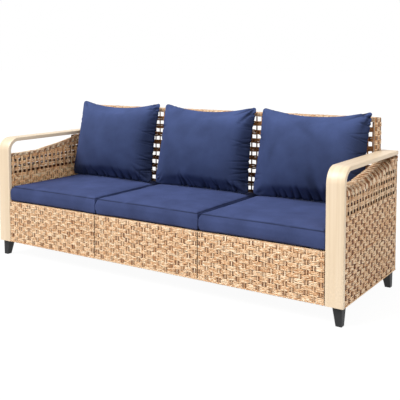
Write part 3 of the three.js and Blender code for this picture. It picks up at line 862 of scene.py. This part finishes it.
class Arm:
    """Where one arm's walls, stakes and open rows lie; both arms share one pattern."""

    def __init__(self, side):
        outer_low, outer_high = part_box(f"{side}_arm_outer_weave")
        inner_low, inner_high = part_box(f"{side}_arm_inner_weave")
        rear_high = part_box(f"{side}_arm_rear_weave")[1]
        self.side = side
        self.low_x = min(outer_low.x, inner_low.x)
        self.high_x = max(outer_high.x, inner_high.x)
        self.front, self.rear = outer_low.y, rear_high.y
        self.base, self.rear_top = outer_low.z, rear_high.z
        left, right = self.low_x + WALL_INSET, self.high_x - WALL_INSET
        back = self.rear - WALL_INSET
        corners = [(right, self.front), (right, back), (left, back), (left, self.front)]
        self.sheet = Sheet(corners, ARM_CORNER)
        self.first_stake = HOLE_FIRST - STAKE_PITCH / 2
        self.closed_top = HOLE_ROW_FIRST - HOLE_HEIGHT / 2
        self.stations, self.heights = arm_top_line(side)
        order = 1 if side == "right" else -1
        self.drops = (FLAP_DROP, INNER_FLAP_DROP)[::order]
        # Outer stakes take the dark painted-shade coat; the inner wall's stakes and strands take the
        # lighter, warmer painted-light coat.
        self.stake_slots = (PAINTED_SHADE_SLOT, PAINTED_LIGHT_SLOT)[::order]
        self.pair_slots = (0, PAINTED_LIGHT_SLOT)[::order]
        self.inner_wall = self.sheet.flats[::order][-1]

    def top(self, y):
        return np.interp(y, self.stations, self.heights)

    def places(self, y):
        """The two places along the sheet, on the one wall and the other, that lie at this Y."""
        return y - self.front, self.sheet.length - (y - self.front)

    def start_under(self, height, drop):
        """The first Y where the border, with this drop, covers the end of a strand at this height."""
        ys = np.linspace(self.front, SLOPE_END, SLOPE_SAMPLES)
        covered = ys[self.top(ys) - ROW_UNDER_EDGE - drop * ROW_UNDER_FLAP_SHARE >= height]
        return covered[0] if len(covered) else SLOPE_END

    def row(self, strands, weave, height, tall, row, count=BUNDLE, from_y=None, to_y=None):
        """A row on both walls between two places, which goes round the rear where none ends it."""

        def stretches(level):
            low = self.front if from_y is None else from_y
            starts = [max(self.start_under(level, drop), low) for drop in self.drops]
            first, second = self.places(starts[0])[0], self.places(starts[1])[1]
            if to_y is None:
                return [(first, second)]
            end, back = self.places(to_y)
            runs = [(first, end), (back, second)]
            return [run for run, start in zip(runs, starts) if to_y > start + STAKE_PITCH / 2]

        lay_row(strands, weave, height, stretches, row, tall / count, count)


def make_arm_weave(side):
    """The wicker box of one arm: outer wall, rear face and inner wall as one continuous weave."""
    arm = Arm(side)
    sheet = arm.sheet
    closed = Strands()
    heights, step = rows_between(arm.base + BORDER_RADIUS * 2, arm.closed_top)
    weave = Weave(
        sheet, arm.first_stake, STAKE_PITCH, ARM_DIP_SHARE, ARM_SLIT_SHADE, ARM_LOOSE, arm.inner_wall
    )
    for row, height in enumerate(heights):
        arm.row(closed, weave, height, step, row)
    back_closed_rows(closed, sheet, arm.base, arm.closed_top, STAKE_PITCH)
    lay_border(closed, sheet, arm.base)
    opened = Strands()
    lay_open_rows(opened, arm, len(heights))
    lay_arm_stakes(closed, opened, arm)
    replaced = [f"{side}_arm_{wall}_weave" for wall in ("outer", "inner", "rear")]
    coats = [wicker_tan, wicker_painted_deep_shade, wicker_warm]
    closed.link(f"{side}_arm_strands", coats, *replaced)
    opened.link(f"{side}_arm_open_rows", coats)
    make_arm_border(arm)


def lay_open_rows(strands, arm, parity):
    """Bands between rows of holes; a row is closed in front of its holes and behind them."""
    shape = {"dip": PAIR_DIP_SHARE, "shade": OPEN_SLIT_SHADE, "warm": arm.inner_wall}
    weave = Weave(arm.sheet, arm.first_stake, STAKE_PITCH, **shape)
    band = HOLE_ROW_PITCH - HOLE_HEIGHT
    first_hole = arm.front + HOLE_FIRST
    holes_end = first_hole + (HOLE_COLUMNS - 1) * STAKE_PITCH + HOLE_WIDTH / 2
    for index, first_column in enumerate(HOLE_ROW_STARTS):
        centre = HOLE_ROW_FIRST + index * HOLE_ROW_PITCH
        above = centre + HOLE_HEIGHT / 2
        row = parity + index
        if above + band < arm.rear_top:
            arm.row(strands, weave, above + band / 2, band, row)
        arm.row(strands, weave, centre, HOLE_HEIGHT, row + 1, HOLE_BUNDLE, from_y=holes_end)
        if first_column:
            holes_start = first_hole + first_column * STAKE_PITCH - HOLE_WIDTH / 2
            arm.row(strands, weave, centre, HOLE_HEIGHT, row + 1, HOLE_BUNDLE, to_y=holes_start)


def lay_arm_stakes(closed, opened, arm):
    """Single stakes in the closed weave, doubled where the rows open."""
    sheet, base, rear_top = arm.sheet, arm.base, arm.rear_top
    count = int((arm.rear - ARM_CORNER - arm.front - arm.first_stake) / STAKE_PITCH) + 1
    start = arm.closed_top - STRAND_WIDTH
    for stake in range(count):
        y = arm.front + arm.first_stake + stake * STAKE_PITCH
        top = float(arm.top(y)) - FLAP_DROP / 3
        for place, slot, pair in zip(arm.places(y), arm.stake_slots, arm.pair_slots):
            lay_upright(closed, sheet, place, base, arm.closed_top, slot=slot)
            for hand in (-0.5, 0.5):
                lay_upright(opened, sheet, place + hand * PAIR_PITCH, start, top, PAIR_STRAND, slot=pair)
    for _, end in sheet.flats[:2]:
        for place in np.linspace(end, end + sheet.bend, CORNER_STRANDS):
            lay_upright(opened, sheet, place, base, rear_top, STRAND_WIDTH, WEAVE_DEPTH)
    for share in REAR_STAKE_SHARES:
        place = arm.rear - arm.front + share * (arm.high_x - arm.low_x)
        lay_upright(opened, sheet, place, base, rear_top)


def make_arm_border(arm):
    """Plaited border: leaves of strands cross from both edges and meet at the middle."""
    strands = Strands()
    half = (arm.high_x - arm.low_x) / 2
    centre_x = (arm.high_x + arm.low_x) / 2
    band_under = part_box(f"{arm.side}_armrest_band")[1].z - BAND_THICKNESS
    step = PLAIT_PITCH / PLAIT_STRANDS
    count = int((arm.rear - arm.front) / step) + PLAIT_STRANDS
    for index in range(-PLAIT_STRANDS, count):
        crest = np.cos(2 * np.pi * (index + 0.5) / PLAIT_STRANDS)
        for hand, drop in zip((1, -1), arm.drops):
            run = np.linspace(0, drop + half + PLAIT_PAST_CENTRE, PLAIT_RINGS)
            flap = np.clip(drop - run, 0, None)
            inward = np.clip(run - drop, 0, None)
            share = inward / half
            near_edge = 1 - np.clip(inward / FLAP_DROP, 0, 1)
            lift = FLAP_LIFT * np.where(flap > 0, 1, near_edge)
            y = arm.front + (index + (PLAIT_STRANDS / 2 if hand > 0 else 0)) * step
            y = y + PLAIT_LEAN * (share + flap / half * PLAIT_FLAP_LEAN_SHARE)
            y += rng.normal(0, PLAIT_JITTER)
            y += PLAIT_SWAY * np.sin(2 * np.pi * (run / half + index / PLAIT_STRANDS))
            inside = (y > arm.front + step / 2) & (y < arm.rear - step)
            if inside.sum() < PLAIT_LEAST_RINGS:
                continue
            past = np.clip(y - arm.rear + ARM_CORNER, 0, ARM_CORNER)
            rounding = ARM_CORNER - np.sqrt(ARM_CORNER ** 2 - past ** 2)
            x = centre_x + hand * (half - STRAND_THICKNESS / 2 - np.maximum(inward, rounding) + lift)
            bulge = np.sin(np.clip(share, 0, PLAIT_ARCH_END) * np.pi * PLAIT_ARCH)
            bulge *= PLAIT_CREST_SHARES[0] + PLAIT_CREST_SHARES[1] * crest
            rise = np.minimum(PLAIT_RISE, band_under - arm.top(y) - PLAIT_CLEARANCE)
            z = arm.top(y) - STRAND_THICKNESS / 2 - flap + rise * bulge
            z -= PLAIT_EDGE * near_edge ** 2 * (flap == 0)
            centre = np.stack([x, y, z], -1)[inside]
            heading = unit(np.gradient(centre, axis=0))
            across = unit(TO_REAR - heading * (heading @ TO_REAR)[:, None])
            outward = np.cross(across, heading)
            outward *= np.where(outward[:, 2] + outward[:, 0] * hand < 0, -1, 1)[:, None]
            centre[:, 1] += stray(run[inside], PLAIT_STRAY)
            # Painted shade on the plait's lower strands and toward its middle, with random flecks; the
            # strands that lie on top get a lighter tone, painted light.
            tail = np.clip((share[inside] - PLAIT_TAIL[0]) / PLAIT_TAIL[1], 0, 1)
            painted_strand_shade_and_fleck = PLAIT_SHADE * (np.clip(PLAIT_SHADE_BELOW - crest, 0, 1) + tail)
            painted_strand_shade_and_fleck = np.clip(painted_strand_shade_and_fleck + rng.normal(0, PLAIT_FLECK, len(painted_strand_shade_and_fleck)), 0, 1)
            tone = (1 + crest) / 2 + rng.normal(0, PLAIT_TONE_SPREAD)
            width = step * PLAIT_COVER * np.clip(across[:, 1:2], PLAIT_LEAST_WIDTH, 1)
            strands.lay(centre, across, outward, width, tone=tone, painted_strand_shade_and_fleck=painted_strand_shade_and_fleck)
    strands.link(f"{arm.side}_border_strands", [wicker_tan], f"{arm.side}_arm_border_braid")


# Back frame and lattice

def wind(strands, low, high):
    """Winds a strand round a bar, turn by turn, along X."""
    half = (high[1:] - low[1:]) / 2 - STRAND_THICKNESS / 2
    middle = (high[1:] + low[1:]) / 2
    outline, normals = rounded_outline(half, min(WIND_CORNER, half.min() * WIND_CORNER_LIMIT))
    turns = int(round((high[0] - low[0]) / WIND_PITCH))
    count = len(outline)
    spots = np.arange(count + 1)
    ring = spots % count
    outward = np.column_stack([np.zeros(count + 1), normals[ring]])
    spare = WIND_PITCH * WIND_END_SHARE
    for turn in range(turns):
        x = low[0] + (turn + spots / count) * (high[0] - low[0]) / turns
        flat = outline[ring] + normals[ring] * rng.normal(0, WIND_WOBBLE) + middle
        centre = np.column_stack([np.clip(x, low[0] + spare, high[0] - spare), flat])
        fleck = np.clip(rng.normal(0, WIND_FLECK, count + 1), 0, 1)
        width = WIND_PITCH * rng.uniform(*WIND_COVER)
        strands.lay(centre, np.array([1.0, 0.0, 0.0]), outward, width, painted_strand_shade_and_fleck=fleck)


def rounded_outline(half, radius):
    """Points and outward directions round a rectangle with rounded corners."""
    points, normals = [], []
    for quarter, (sx, sy) in enumerate(((1, 1), (-1, 1), (-1, -1), (1, -1))):
        for angle in np.linspace(0, np.pi / 2, OUTLINE_CORNER_POINTS):
            turn = quarter * np.pi / 2 + angle
            normal = np.array([np.cos(turn), np.sin(turn)])
            points.append(np.array([sx, sy]) * (half - radius) + normal * radius)
            normals.append(normal)
    return np.array(points), np.array(normals)


def weave_post(side):
    """The back's end post, closed in by rows that go round it over and under its stakes."""
    node = f"{side}_back_post_wrap"
    low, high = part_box(node)
    left, right = low.x + WALL_INSET, high.x - WALL_INSET
    front, back = low.y + WALL_INSET, high.y - WALL_INSET
    ends = ((left + right) / 2, back)
    sheet = Sheet([ends, (left, back), (left, front), (right, front), (right, back), ends], POST_CORNER)
    strands = Strands()
    pitch = sheet.length / POST_STAKES
    lay_rows(strands, Weave(sheet, pitch / 2, pitch, PAIR_DIP_SHARE, ARM_SLIT_SHADE), low.z, high.z)
    for _, end in sheet.flats[:-1]:
        lay_upright(strands, sheet, end + sheet.bend / 2, low.z, high.z, offset=WEAVE_DEPTH)
    # The post's stakes take the darker, painted-shade copy of the tan wicker.
    for stake in range(POST_STAKES):
        lay_upright(strands, sheet, (stake + 0.5) * pitch, low.z, high.z, slot=PAINTED_SHADE_SLOT)
    strands.link(f"{side}_post_strands", [wicker_tan, wicker_back], node)


def make_back_frame():
    for side in SIDES:
        weave_post(side)
    for name, node, replaced in (
        ("top_rail_winding", "back_top_wrap", ["back_top_wrap"]),
        ("mid_rail_winding", "back_mid_rail", []),
    ):
        strands = Strands()
        wind(strands, *(np.array(corner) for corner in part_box(node)))
        strands.link(name, [wicker_tan], *replaced)


def make_lattice():
    """The back's open lattice: single uprights, straps of strands between nine rows of holes."""
    low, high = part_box("back_lattice")
    line = (low.y + high.y) / 2
    sheet = Sheet([(low.x, line), (high.x, line)])
    strands = Strands()
    pitch = sheet.length / LATTICE_COLUMNS
    weave = Weave(sheet, 0.0, pitch)
    edge = LATTICE_STRAND / 2
    for column in range(LATTICE_COLUMNS + 1):
        place = min(max(column * pitch, edge), sheet.length - edge)
        lay_upright(strands, sheet, place, low.z, high.z, LATTICE_STRAND, painted_inner_shade=False)
    for row in range(LATTICE_ROWS):
        strap_top = high.z - LATTICE_EDGE - row * LATTICE_ROW_PITCH - LATTICE_HOLE
        last = row == LATTICE_ROWS - 1
        strap_low = low.z if last else strap_top - (LATTICE_ROW_PITCH - LATTICE_HOLE)
        middle = (strap_top + strap_low) / 2
        width = (strap_top - strap_low) / BUNDLE + STRAP_SPREAD
        lay_row(strands, weave, middle, weave.whole, row, width, painted_inner_shade=False)
    # The lattice takes the darker, painted-shade copy of the tan wicker.
    strands.link("lattice_strands", [wicker_back], "back_lattice")


# Bands, feet and frame

def make_band(side):
    """Bent armrest band with rounded edges, upright in front and level on top."""
    node = f"{side}_armrest_band"
    low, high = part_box(node)
    half = BAND_THICKNESS / 2
    turn_y, turn_z = low.y + BAND_RADIUS, high.z - BAND_RADIUS
    radius = BAND_RADIUS - half
    line = [(low.y + half, low.z), (low.y + half, turn_z)]
    for step in range(1, BAND_BEND_STEPS):
        angle = math.pi - step / BAND_BEND_STEPS * math.pi / 2
        line.append((turn_y + radius * math.cos(angle), turn_z + radius * math.sin(angle)))
    line = np.array(line + [(turn_y, high.z - half), (high.y, high.z - half)])
    steps = np.gradient(line, axis=0)
    steps[0], steps[-1] = (0, 1), (1, 0)
    heading = unit(steps)
    outside = np.stack([-heading[:, 1], heading[:, 0]], -1)
    outline, _ = rounded_outline(np.array([(high.x - low.x) / 2, half]), BAND_EDGE)
    middle = (low.x + high.x) / 2
    points = [
        (middle + across, *(place + out * depth))
        for place, out in zip(line, outside)
        for across, depth in outline
    ]
    sides = len(outline)
    first, last = range(sides), range(len(points) - sides, len(points))
    faces = tube_quads(len(line), sides).tolist() + [tuple(reversed(first)), tuple(last)]
    mesh = new_mesh(f"{side}_bent_band", points, faces)
    mesh.polygons.foreach_set("use_smooth", np.ones(len(mesh.polygons), bool))
    mesh.set_sharp_from_angle(angle=BAND_SMOOTH)
    dress(add_object(f"{side}_bent_band", mesh), [band_coat], "band", node)


def dress_nodes():
    """Materials and eased edges for the CAD nodes that stay."""
    coats = {"frame": frame_coat, "leg": leg_coat, "zinc": zinc_plate, "webbing": deck_strap}
    slots = {part["node"]: part["material_slot"] for part in frame["record"]["subparts"]}
    for name, node in frame["nodes"].items():
        if node.hide_render:
            continue
        node.data.materials.clear()
        node.data.materials.append(coats[slots[name]])
        ease = node.modifiers.new("eased_edges", "BEVEL")
        ease.width = EASE_WIDTH
        ease.segments = EASE_SEGMENTS
        ease.limit_method = "ANGLE"
        ease.angle_limit = EASE_ANGLE


# Cushions

def apply_modifiers(piece):
    bpy.context.view_layer.update()
    graph = bpy.context.evaluated_depsgraph_get()
    made = bpy.data.meshes.new_from_object(piece.evaluated_get(graph))
    piece.modifiers.clear()
    piece.data = made


def read_vectors(source, key):
    values = np.empty(len(source) * 3, np.float32)
    source.foreach_get(key, values)
    return values.reshape(-1, 3).astype(float)


def coordinates(piece):
    return read_vectors(piece.data.vertices, "co")


def normals(piece):
    return read_vectors(piece.data.vertex_normals, "vector")


def set_coordinates(piece, points):
    piece.data.vertices.foreach_set("co", points.astype(np.float32).ravel())
    piece.data.update()


def smoothstep(low, high, value):
    share = np.clip((value - low) / (high - low), 0, 1)
    return share * share * (3 - 2 * share)


def bell(value, width):
    """1 at zero, and fading to both sides over this width."""
    return np.exp(-((value / width) ** 2))


def swell(piece, cap, pressure, growth=0.0):
    """Blows the piece up as cloth; no point ends further than its cap from its start."""
    before = coordinates(piece)
    modifier = piece.modifiers.new("swell", "CLOTH")
    settings = modifier.settings
    settings.quality = CLOTH_QUALITY
    settings.use_pressure = True
    settings.uniform_pressure_force = pressure
    settings.shrink_min = settings.shrink_max = -growth
    settings.effector_weights.gravity = 0
    modifier.collision_settings.use_collision = False
    modifier.point_cache.frame_start = 1
    modifier.point_cache.frame_end = CLOTH_FRAMES
    for step in range(1, CLOTH_FRAMES + 1):
        bpy.context.scene.frame_set(step)
    apply_modifiers(piece)
    bpy.context.scene.frame_set(1)
    move = coordinates(piece) - before
    length = np.linalg.norm(move, axis=1)
    share = np.minimum(1, cap / np.maximum(length, LEAST_MOVE))
    set_coordinates(piece, before + move * share[:, None])


def subdivide(piece):
    modifier = piece.modifiers.new("smooth", "SUBSURF")
    modifier.levels = modifier.render_levels = 1
    apply_modifiers(piece)
    piece.data.polygons.foreach_set("use_smooth", np.ones(len(piece.data.polygons), bool))


def finish_soft(piece, node, material, painted_cloth_shade):
    # The point attribute holds the painted shade of seams, rims and sides.
    attribute = piece.data.attributes.new("painted_cloth_shade", "FLOAT", "POINT")
    attribute.data.foreach_set("value", painted_cloth_shade.astype(np.float32))
    piece.data.materials.clear()
    dress(piece, [material], "cushion", node)


def double_grid(across, upward):
    """Faces of a front and a back sheet that share their rim, and U, V and side of every point."""
    front = np.arange((across + 1) * (upward + 1)).reshape(across + 1, upward + 1)
    back = front.copy()
    inner = (across - 1) * (upward - 1)
    back[1:-1, 1:-1] = front.size + np.arange(inner).reshape(across - 1, upward - 1)
    faces = []
    for sheet, turn in ((front, 1), (back, -1)):
        corners = [sheet[:-1, :-1], sheet[1:, :-1], sheet[1:, 1:], sheet[:-1, 1:]]
        faces += np.stack(corners, -1).reshape(-1, 4)[:, ::turn].tolist()
    grid = np.meshgrid(np.linspace(-1, 1, across + 1), np.linspace(-1, 1, upward + 1), indexing="ij")
    u, v = (np.concatenate([values.ravel(), values[1:-1, 1:-1].ravel()]) for values in grid)
    return faces, u, v, np.repeat([-1.0, 1.0], [front.size, inner])


def make_pillow(label, seed):
    """A knife-edged back pillow, worked out in its own frame: X across, Z up it, -Y to the front."""
    draw = np.random.default_rng(seed)
    faces, u, v, hand = double_grid(*PILLOW_GRID)
    half, tall = PILLOW_WIDTH / 2, PILLOW_HEIGHT
    corner = PILLOW_CORNER * np.abs(u * v) ** PILLOW_CORNER_POWER
    pinch = np.where(u < 0, *PILLOW_PINCH)
    x = u * (half - pinch * (1 - v ** 2) * np.abs(u)) - np.sign(u) * corner
    x += u * PILLOW_FLARE * smoothstep(PILLOW_FLARE_FROM, -1, v)
    z = tall * (v + 1) / 2 - np.sign(v) * corner
    z -= PILLOW_DIP * (1 - u ** 2) * smoothstep(PILLOW_DIP_FROM, 1, v)
    z += PILLOW_ARCH * (1 - u ** 2) * smoothstep(PILLOW_ARCH_FROM, -1, v)
    body = ((1 - u ** 2) * (1 - v ** 2)) ** PILLOW_PROFILE
    y = hand * np.where(hand < 0, PILLOW_FRONT, PILLOW_BACK) * body * (1 - PILLOW_HEAVY_SHARE * v)
    name = f"{label}_pillow"
    piece = add_object(name, new_mesh(name, np.stack([x, y, z], -1).tolist(), faces))
    rim = np.maximum(np.abs(u), np.abs(v))
    cap = PILLOW_RIM_CAP + (PILLOW_CAP - PILLOW_RIM_CAP) * smoothstep(1, PILLOW_RIM_FROM, rim)
    cap = np.where(hand < 0, cap, np.minimum(cap, PILLOW_BACK_CAP))
    swell(piece, cap, PILLOW_PRESSURE, PILLOW_GROWTH)
    subdivide(piece)
    points = coordinates(piece)
    folds, lit = pillow_folds(points, draw, half, tall)
    # Painted shadow of the arm on the left pillow's lower outer corner.
    if label == "left":
        end = bell(half + points[:, 0], END_SHADE_REACH[0])
        lit *= 1 - END_SHADE * end * smoothstep(END_SHADE_REACH[1], 0, points[:, 2])
    folds *= PUCKER_BACK_SHARE + (1 - PUCKER_BACK_SHARE) * smoothstep(*PUCKER_FRONT, points[:, 1])
    points += normals(piece) * folds[:, None]
    border = np.maximum(np.abs(points[:, 0]) / half, np.abs(points[:, 2] / tall * 2 - 1))
    # Painted shade along the seam and in the puckers' grooves.
    seam = bell(points[:, 1], SEAM_WIDTH) * smoothstep(*SEAM_RIM, border)
    lit *= 1 - PUCKER_SHADE * smoothstep(0, PUCKER_SHADE_DEPTH, -folds)
    set_coordinates(piece, to_seat(points, label))
    finish_soft(piece, f"{label}_back_pillow", navy_pillow, np.maximum(seam, 1 - lit))


def to_seat(points, label):
    """From the pillow's own frame to its place: leaning on the back above its cushion."""
    low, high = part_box(f"{label}_back_pillow")
    cos, sin = math.cos(PILLOW_LEAN), math.sin(PILLOW_LEAN)
    x = (low.x + high.x) / 2 + points[:, 0]
    y = PILLOW_FOOT[0] + points[:, 2] * sin + points[:, 1] * cos
    z = PILLOW_FOOT[1] + points[:, 2] * cos - points[:, 1] * sin
    return np.stack([x, y, z], -1)


def pucker(across, width, depth):
    """A groove between two soft ridges."""
    ridge = (across / width) ** 2
    return depth * (ridge - 1) * np.exp(-ridge)


def pillow_folds(points, draw, half, tall):
    """Height of the puckers, the fans at the corners and the dents; and the light left after painted
    shade, darker towards the bottom and along the rims.
    """
    x, z = points[:, 0], points[:, 2]
    rims = {"bottom": z, "top": tall - z, "right": half - x, "left": half + x}
    height = np.zeros(len(points))
    lit = np.ones(len(points))
    # Painted shade: darker towards the bottom and along each rim, the right rim fading out near the top.
    for shade, start, end in LOWER_SHADES:
        lit *= 1 - shade * smoothstep(start, end, z / tall)
    for side, count, reach, size, shade, shade_reach in PUCKERS:
        inward = rims[side]
        painted_rim_shade = shade * np.exp(-((np.clip(inward, 0, None) / shade_reach) ** PAINTED_RIM_SHADE_POWER))
        if side == "right":
            painted_rim_shade *= smoothstep(*RIGHT_SHADE_FROM_TOP, rims["top"])
        lit *= 1 - painted_rim_shade
        for _ in range(count):
            place = draw.uniform(*PUCKER_SPAN)
            tilt = draw.normal(0, PUCKER_TILT)
            length = reach * draw.uniform(*PUCKER_LENGTHS)
            width = draw.uniform(*PUCKER_WIDTH) * size
            depth = draw.uniform(*PUCKER_DEPTH) * size
            along = x - place * half if side in ("bottom", "top") else z - (place + 1) / 2 * tall
            fade = np.clip(1 - inward / length, 0, 1) ** PUCKER_FADE
            fade *= smoothstep(0, PUCKER_START, inward)
            height += pucker(along - tilt * inward, width, depth) * fade
    for side, share in CORNER_FOLD_SHARES.items():
        for end in ("bottom", "top"):
            away = np.hypot(rims[side], rims[end])
            bearing = np.arctan2(rims[end], rims[side])
            for _ in range(CORNER_FOLDS):
                turn = draw.uniform(*CORNER_FOLD_TURN)
                depth = draw.uniform(*PUCKER_DEPTH) * share
                fade = np.clip(1 - away / draw.uniform(*CORNER_FOLD_REACH), 0, 1)
                fade *= smoothstep(*CORNER_FOLD_START, away)
                width = CORNER_FOLD_WIDTH + away * CORNER_FOLD_SPREAD
                height += pucker(away * np.sin(bearing - turn), width, depth) * fade
    for _ in range(DENTS):
        offsets = x - draw.uniform(*DENT_SPAN) * half, z - draw.uniform(*DENT_RISE) * tall
        height += dent(draw, *offsets, DENT_SIZE, DENT_LENGTH, DENT_DEPTH)
    return height, lit


def dent(draw, dx, dy, sizes, length, depth):
    """A broad soft oval hollow or hill, turned, sized and deepened at random."""
    turn = draw.uniform(0, np.pi)
    along = dx * np.cos(turn) + dy * np.sin(turn)
    across = dy * np.cos(turn) - dx * np.sin(turn)
    size = draw.uniform(*sizes)
    return draw.normal(0, depth) * bell(across, size) * bell(along, size * length)


def make_seat_cushion(label, seed):
    """A box cushion: crowned top, upright sides and a seam round its upper and lower edge."""
    draw = np.random.default_rng(seed)
    node = f"{label}_seat_cushion"
    low, high = (np.array(corner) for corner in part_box(node))
    middle, half = (low + high) / 2, (high - low) / 2
    piece = add_object(f"{label}_seat_pad", frame["nodes"][node].data.copy())
    piece.data.materials.clear()
    modifier = piece.modifiers.new("voxels", "REMESH")
    modifier.mode = "VOXEL"
    modifier.voxel_size = SEAT_VOXEL
    apply_modifiers(piece)
    start = middle + (coordinates(piece) - middle) * np.array(SEAT_START_SHARES)
    set_coordinates(piece, start)
    swell(piece, SEAT_CAP, SEAT_PRESSURE)
    subdivide(piece)
    points = coordinates(piece)
    facing = normals(piece)
    reach = (points.max(0) - points.min(0)) / 2
    limit = half[:2] - SEAT_GAP
    plan = (points[:, :2] - middle[:2]) * (limit / reach[:2])
    points[:, :2] = middle[:2] + square_corners(plan, limit)
    side = np.hypot(facing[:, 0], facing[:, 1])
    # The seam mask sinks a groove and paints its shade.
    painted_cloth_shade = np.zeros(len(points))
    for inset in (SEAT_THICKNESS - SEAM_INSET, SEAM_INSET):
        painted_cloth_shade += bell(points[:, 2] - low[2] - inset, SEAM_WIDTH) * smoothstep(*SEAM_SIDE, side)
    height = -SEAM_DEPTH * painted_cloth_shade
    top = smoothstep(*SEAT_FACE, facing[:, 2])
    for _ in range(SEAT_DENTS):
        offsets = (points[:, axis] - draw.uniform(low[axis], high[axis]) for axis in (0, 1))
        height += top * dent(draw, *offsets, SEAT_DENT_SIZE, SEAT_DENT_LENGTH, SEAT_DENT_DEPTH)
    set_coordinates(piece, points + facing * height[:, None])
    # Painted shade on the upright sides.
    painted_cloth_shade = np.maximum(painted_cloth_shade, SEAT_SIDE_SHADE * smoothstep(*SEAT_FACE, side))
    finish_soft(piece, node, navy_seat, np.clip(painted_cloth_shade, 0, 1))


def square_corners(plan, limit):
    """Draws a box cushion's rounded upright corners out towards square ones, on plan."""
    inward = SEAT_CORNER_REACH - (limit - np.abs(plan))
    near = (inward > 0).all(1)
    length = np.hypot(*inward[near].T)
    stretch = 1 + SEAT_CORNER_SQUARE * (length / inward[near].max(1) - 1)
    moved = limit + np.minimum(inward[near] * stretch[:, None] - SEAT_CORNER_REACH, 0)
    plan[near] = np.sign(plan[near]) * moved
    return plan


def make_cushions():
    for index, label in enumerate(PLACES):
        make_seat_cushion(label, SEAT_SEED + index)
        make_pillow(label, PILLOW_SEED + index)


# Stage

def make_camera():
    data = bpy.data.cameras.new("camera")
    data.sensor_width = CAMERA_SENSOR
    data.lens = CAMERA_LENS
    data.shift_y = CAMERA_SHIFT
    camera = add_object("camera", data)
    camera.location = CAMERA_PLACE
    camera.rotation_euler = (math.pi / 2 - CAMERA_PITCH, 0, CAMERA_YAW)
    bpy.context.scene.camera = camera


def make_stage():
    """A pale floor that glows white to the eye and keeps the sofa's shadow."""
    corners = [(x * FLOOR_HALF, y * FLOOR_HALF, 0) for x, y in ((-1, -1), (1, -1), (1, 1), (-1, 1))]
    floor = add_object("floor", new_mesh("floor", corners, [(0, 1, 2, 3)]))
    floor.location.z = CAD_BOX[0].z - FLOOR_DROP
    graph = Graph("white_floor")
    diffuse = graph.add("ShaderNodeBsdfDiffuse", {"Color": (FLOOR_TONE, FLOOR_TONE, FLOOR_TONE, 1)})
    glow = graph.add("ShaderNodeEmission", {"Color": (1, 1, 1, 1), "Strength": FLOOR_GLOW})
    share = graph.maths("MULTIPLY", graph.backdrop(), FLOOR_GLOW_SHARE)
    mix = graph.add("ShaderNodeMixShader", {0: share, 1: diffuse.outputs[0], 2: glow.outputs[0]})
    graph.feed(graph.tree.nodes["Material Output"].inputs["Surface"], mix.outputs[0])
    floor.data.materials.append(graph.owner)


def make_light():
    graph = Graph("studio", "worlds")
    bpy.context.scene.world = graph.owner
    background = graph.tree.nodes["Background"].inputs
    background["Color"].default_value = (1, 1, 1, 1)
    graph.feed(background["Strength"], graph.spread(graph.backdrop(), WORLD_STRENGTH, 1.0))
    for name, strength, angle, source in SUNS:
        data = bpy.data.lights.new(name, "SUN")
        data.energy = strength
        data.angle = math.radians(angle)
        add_object(name, data).rotation_euler = Vector(source).to_track_quat("Z", "Y").to_euler()
    bpy.context.scene.view_settings.view_transform = "Standard"


make_camera()
make_stage()
make_light()
make_aprons()
make_back_lower()
for side in SIDES:
    make_arm_weave(side)
    make_band(side)
make_back_frame()
make_lattice()
make_cushions()
dress_nodes()
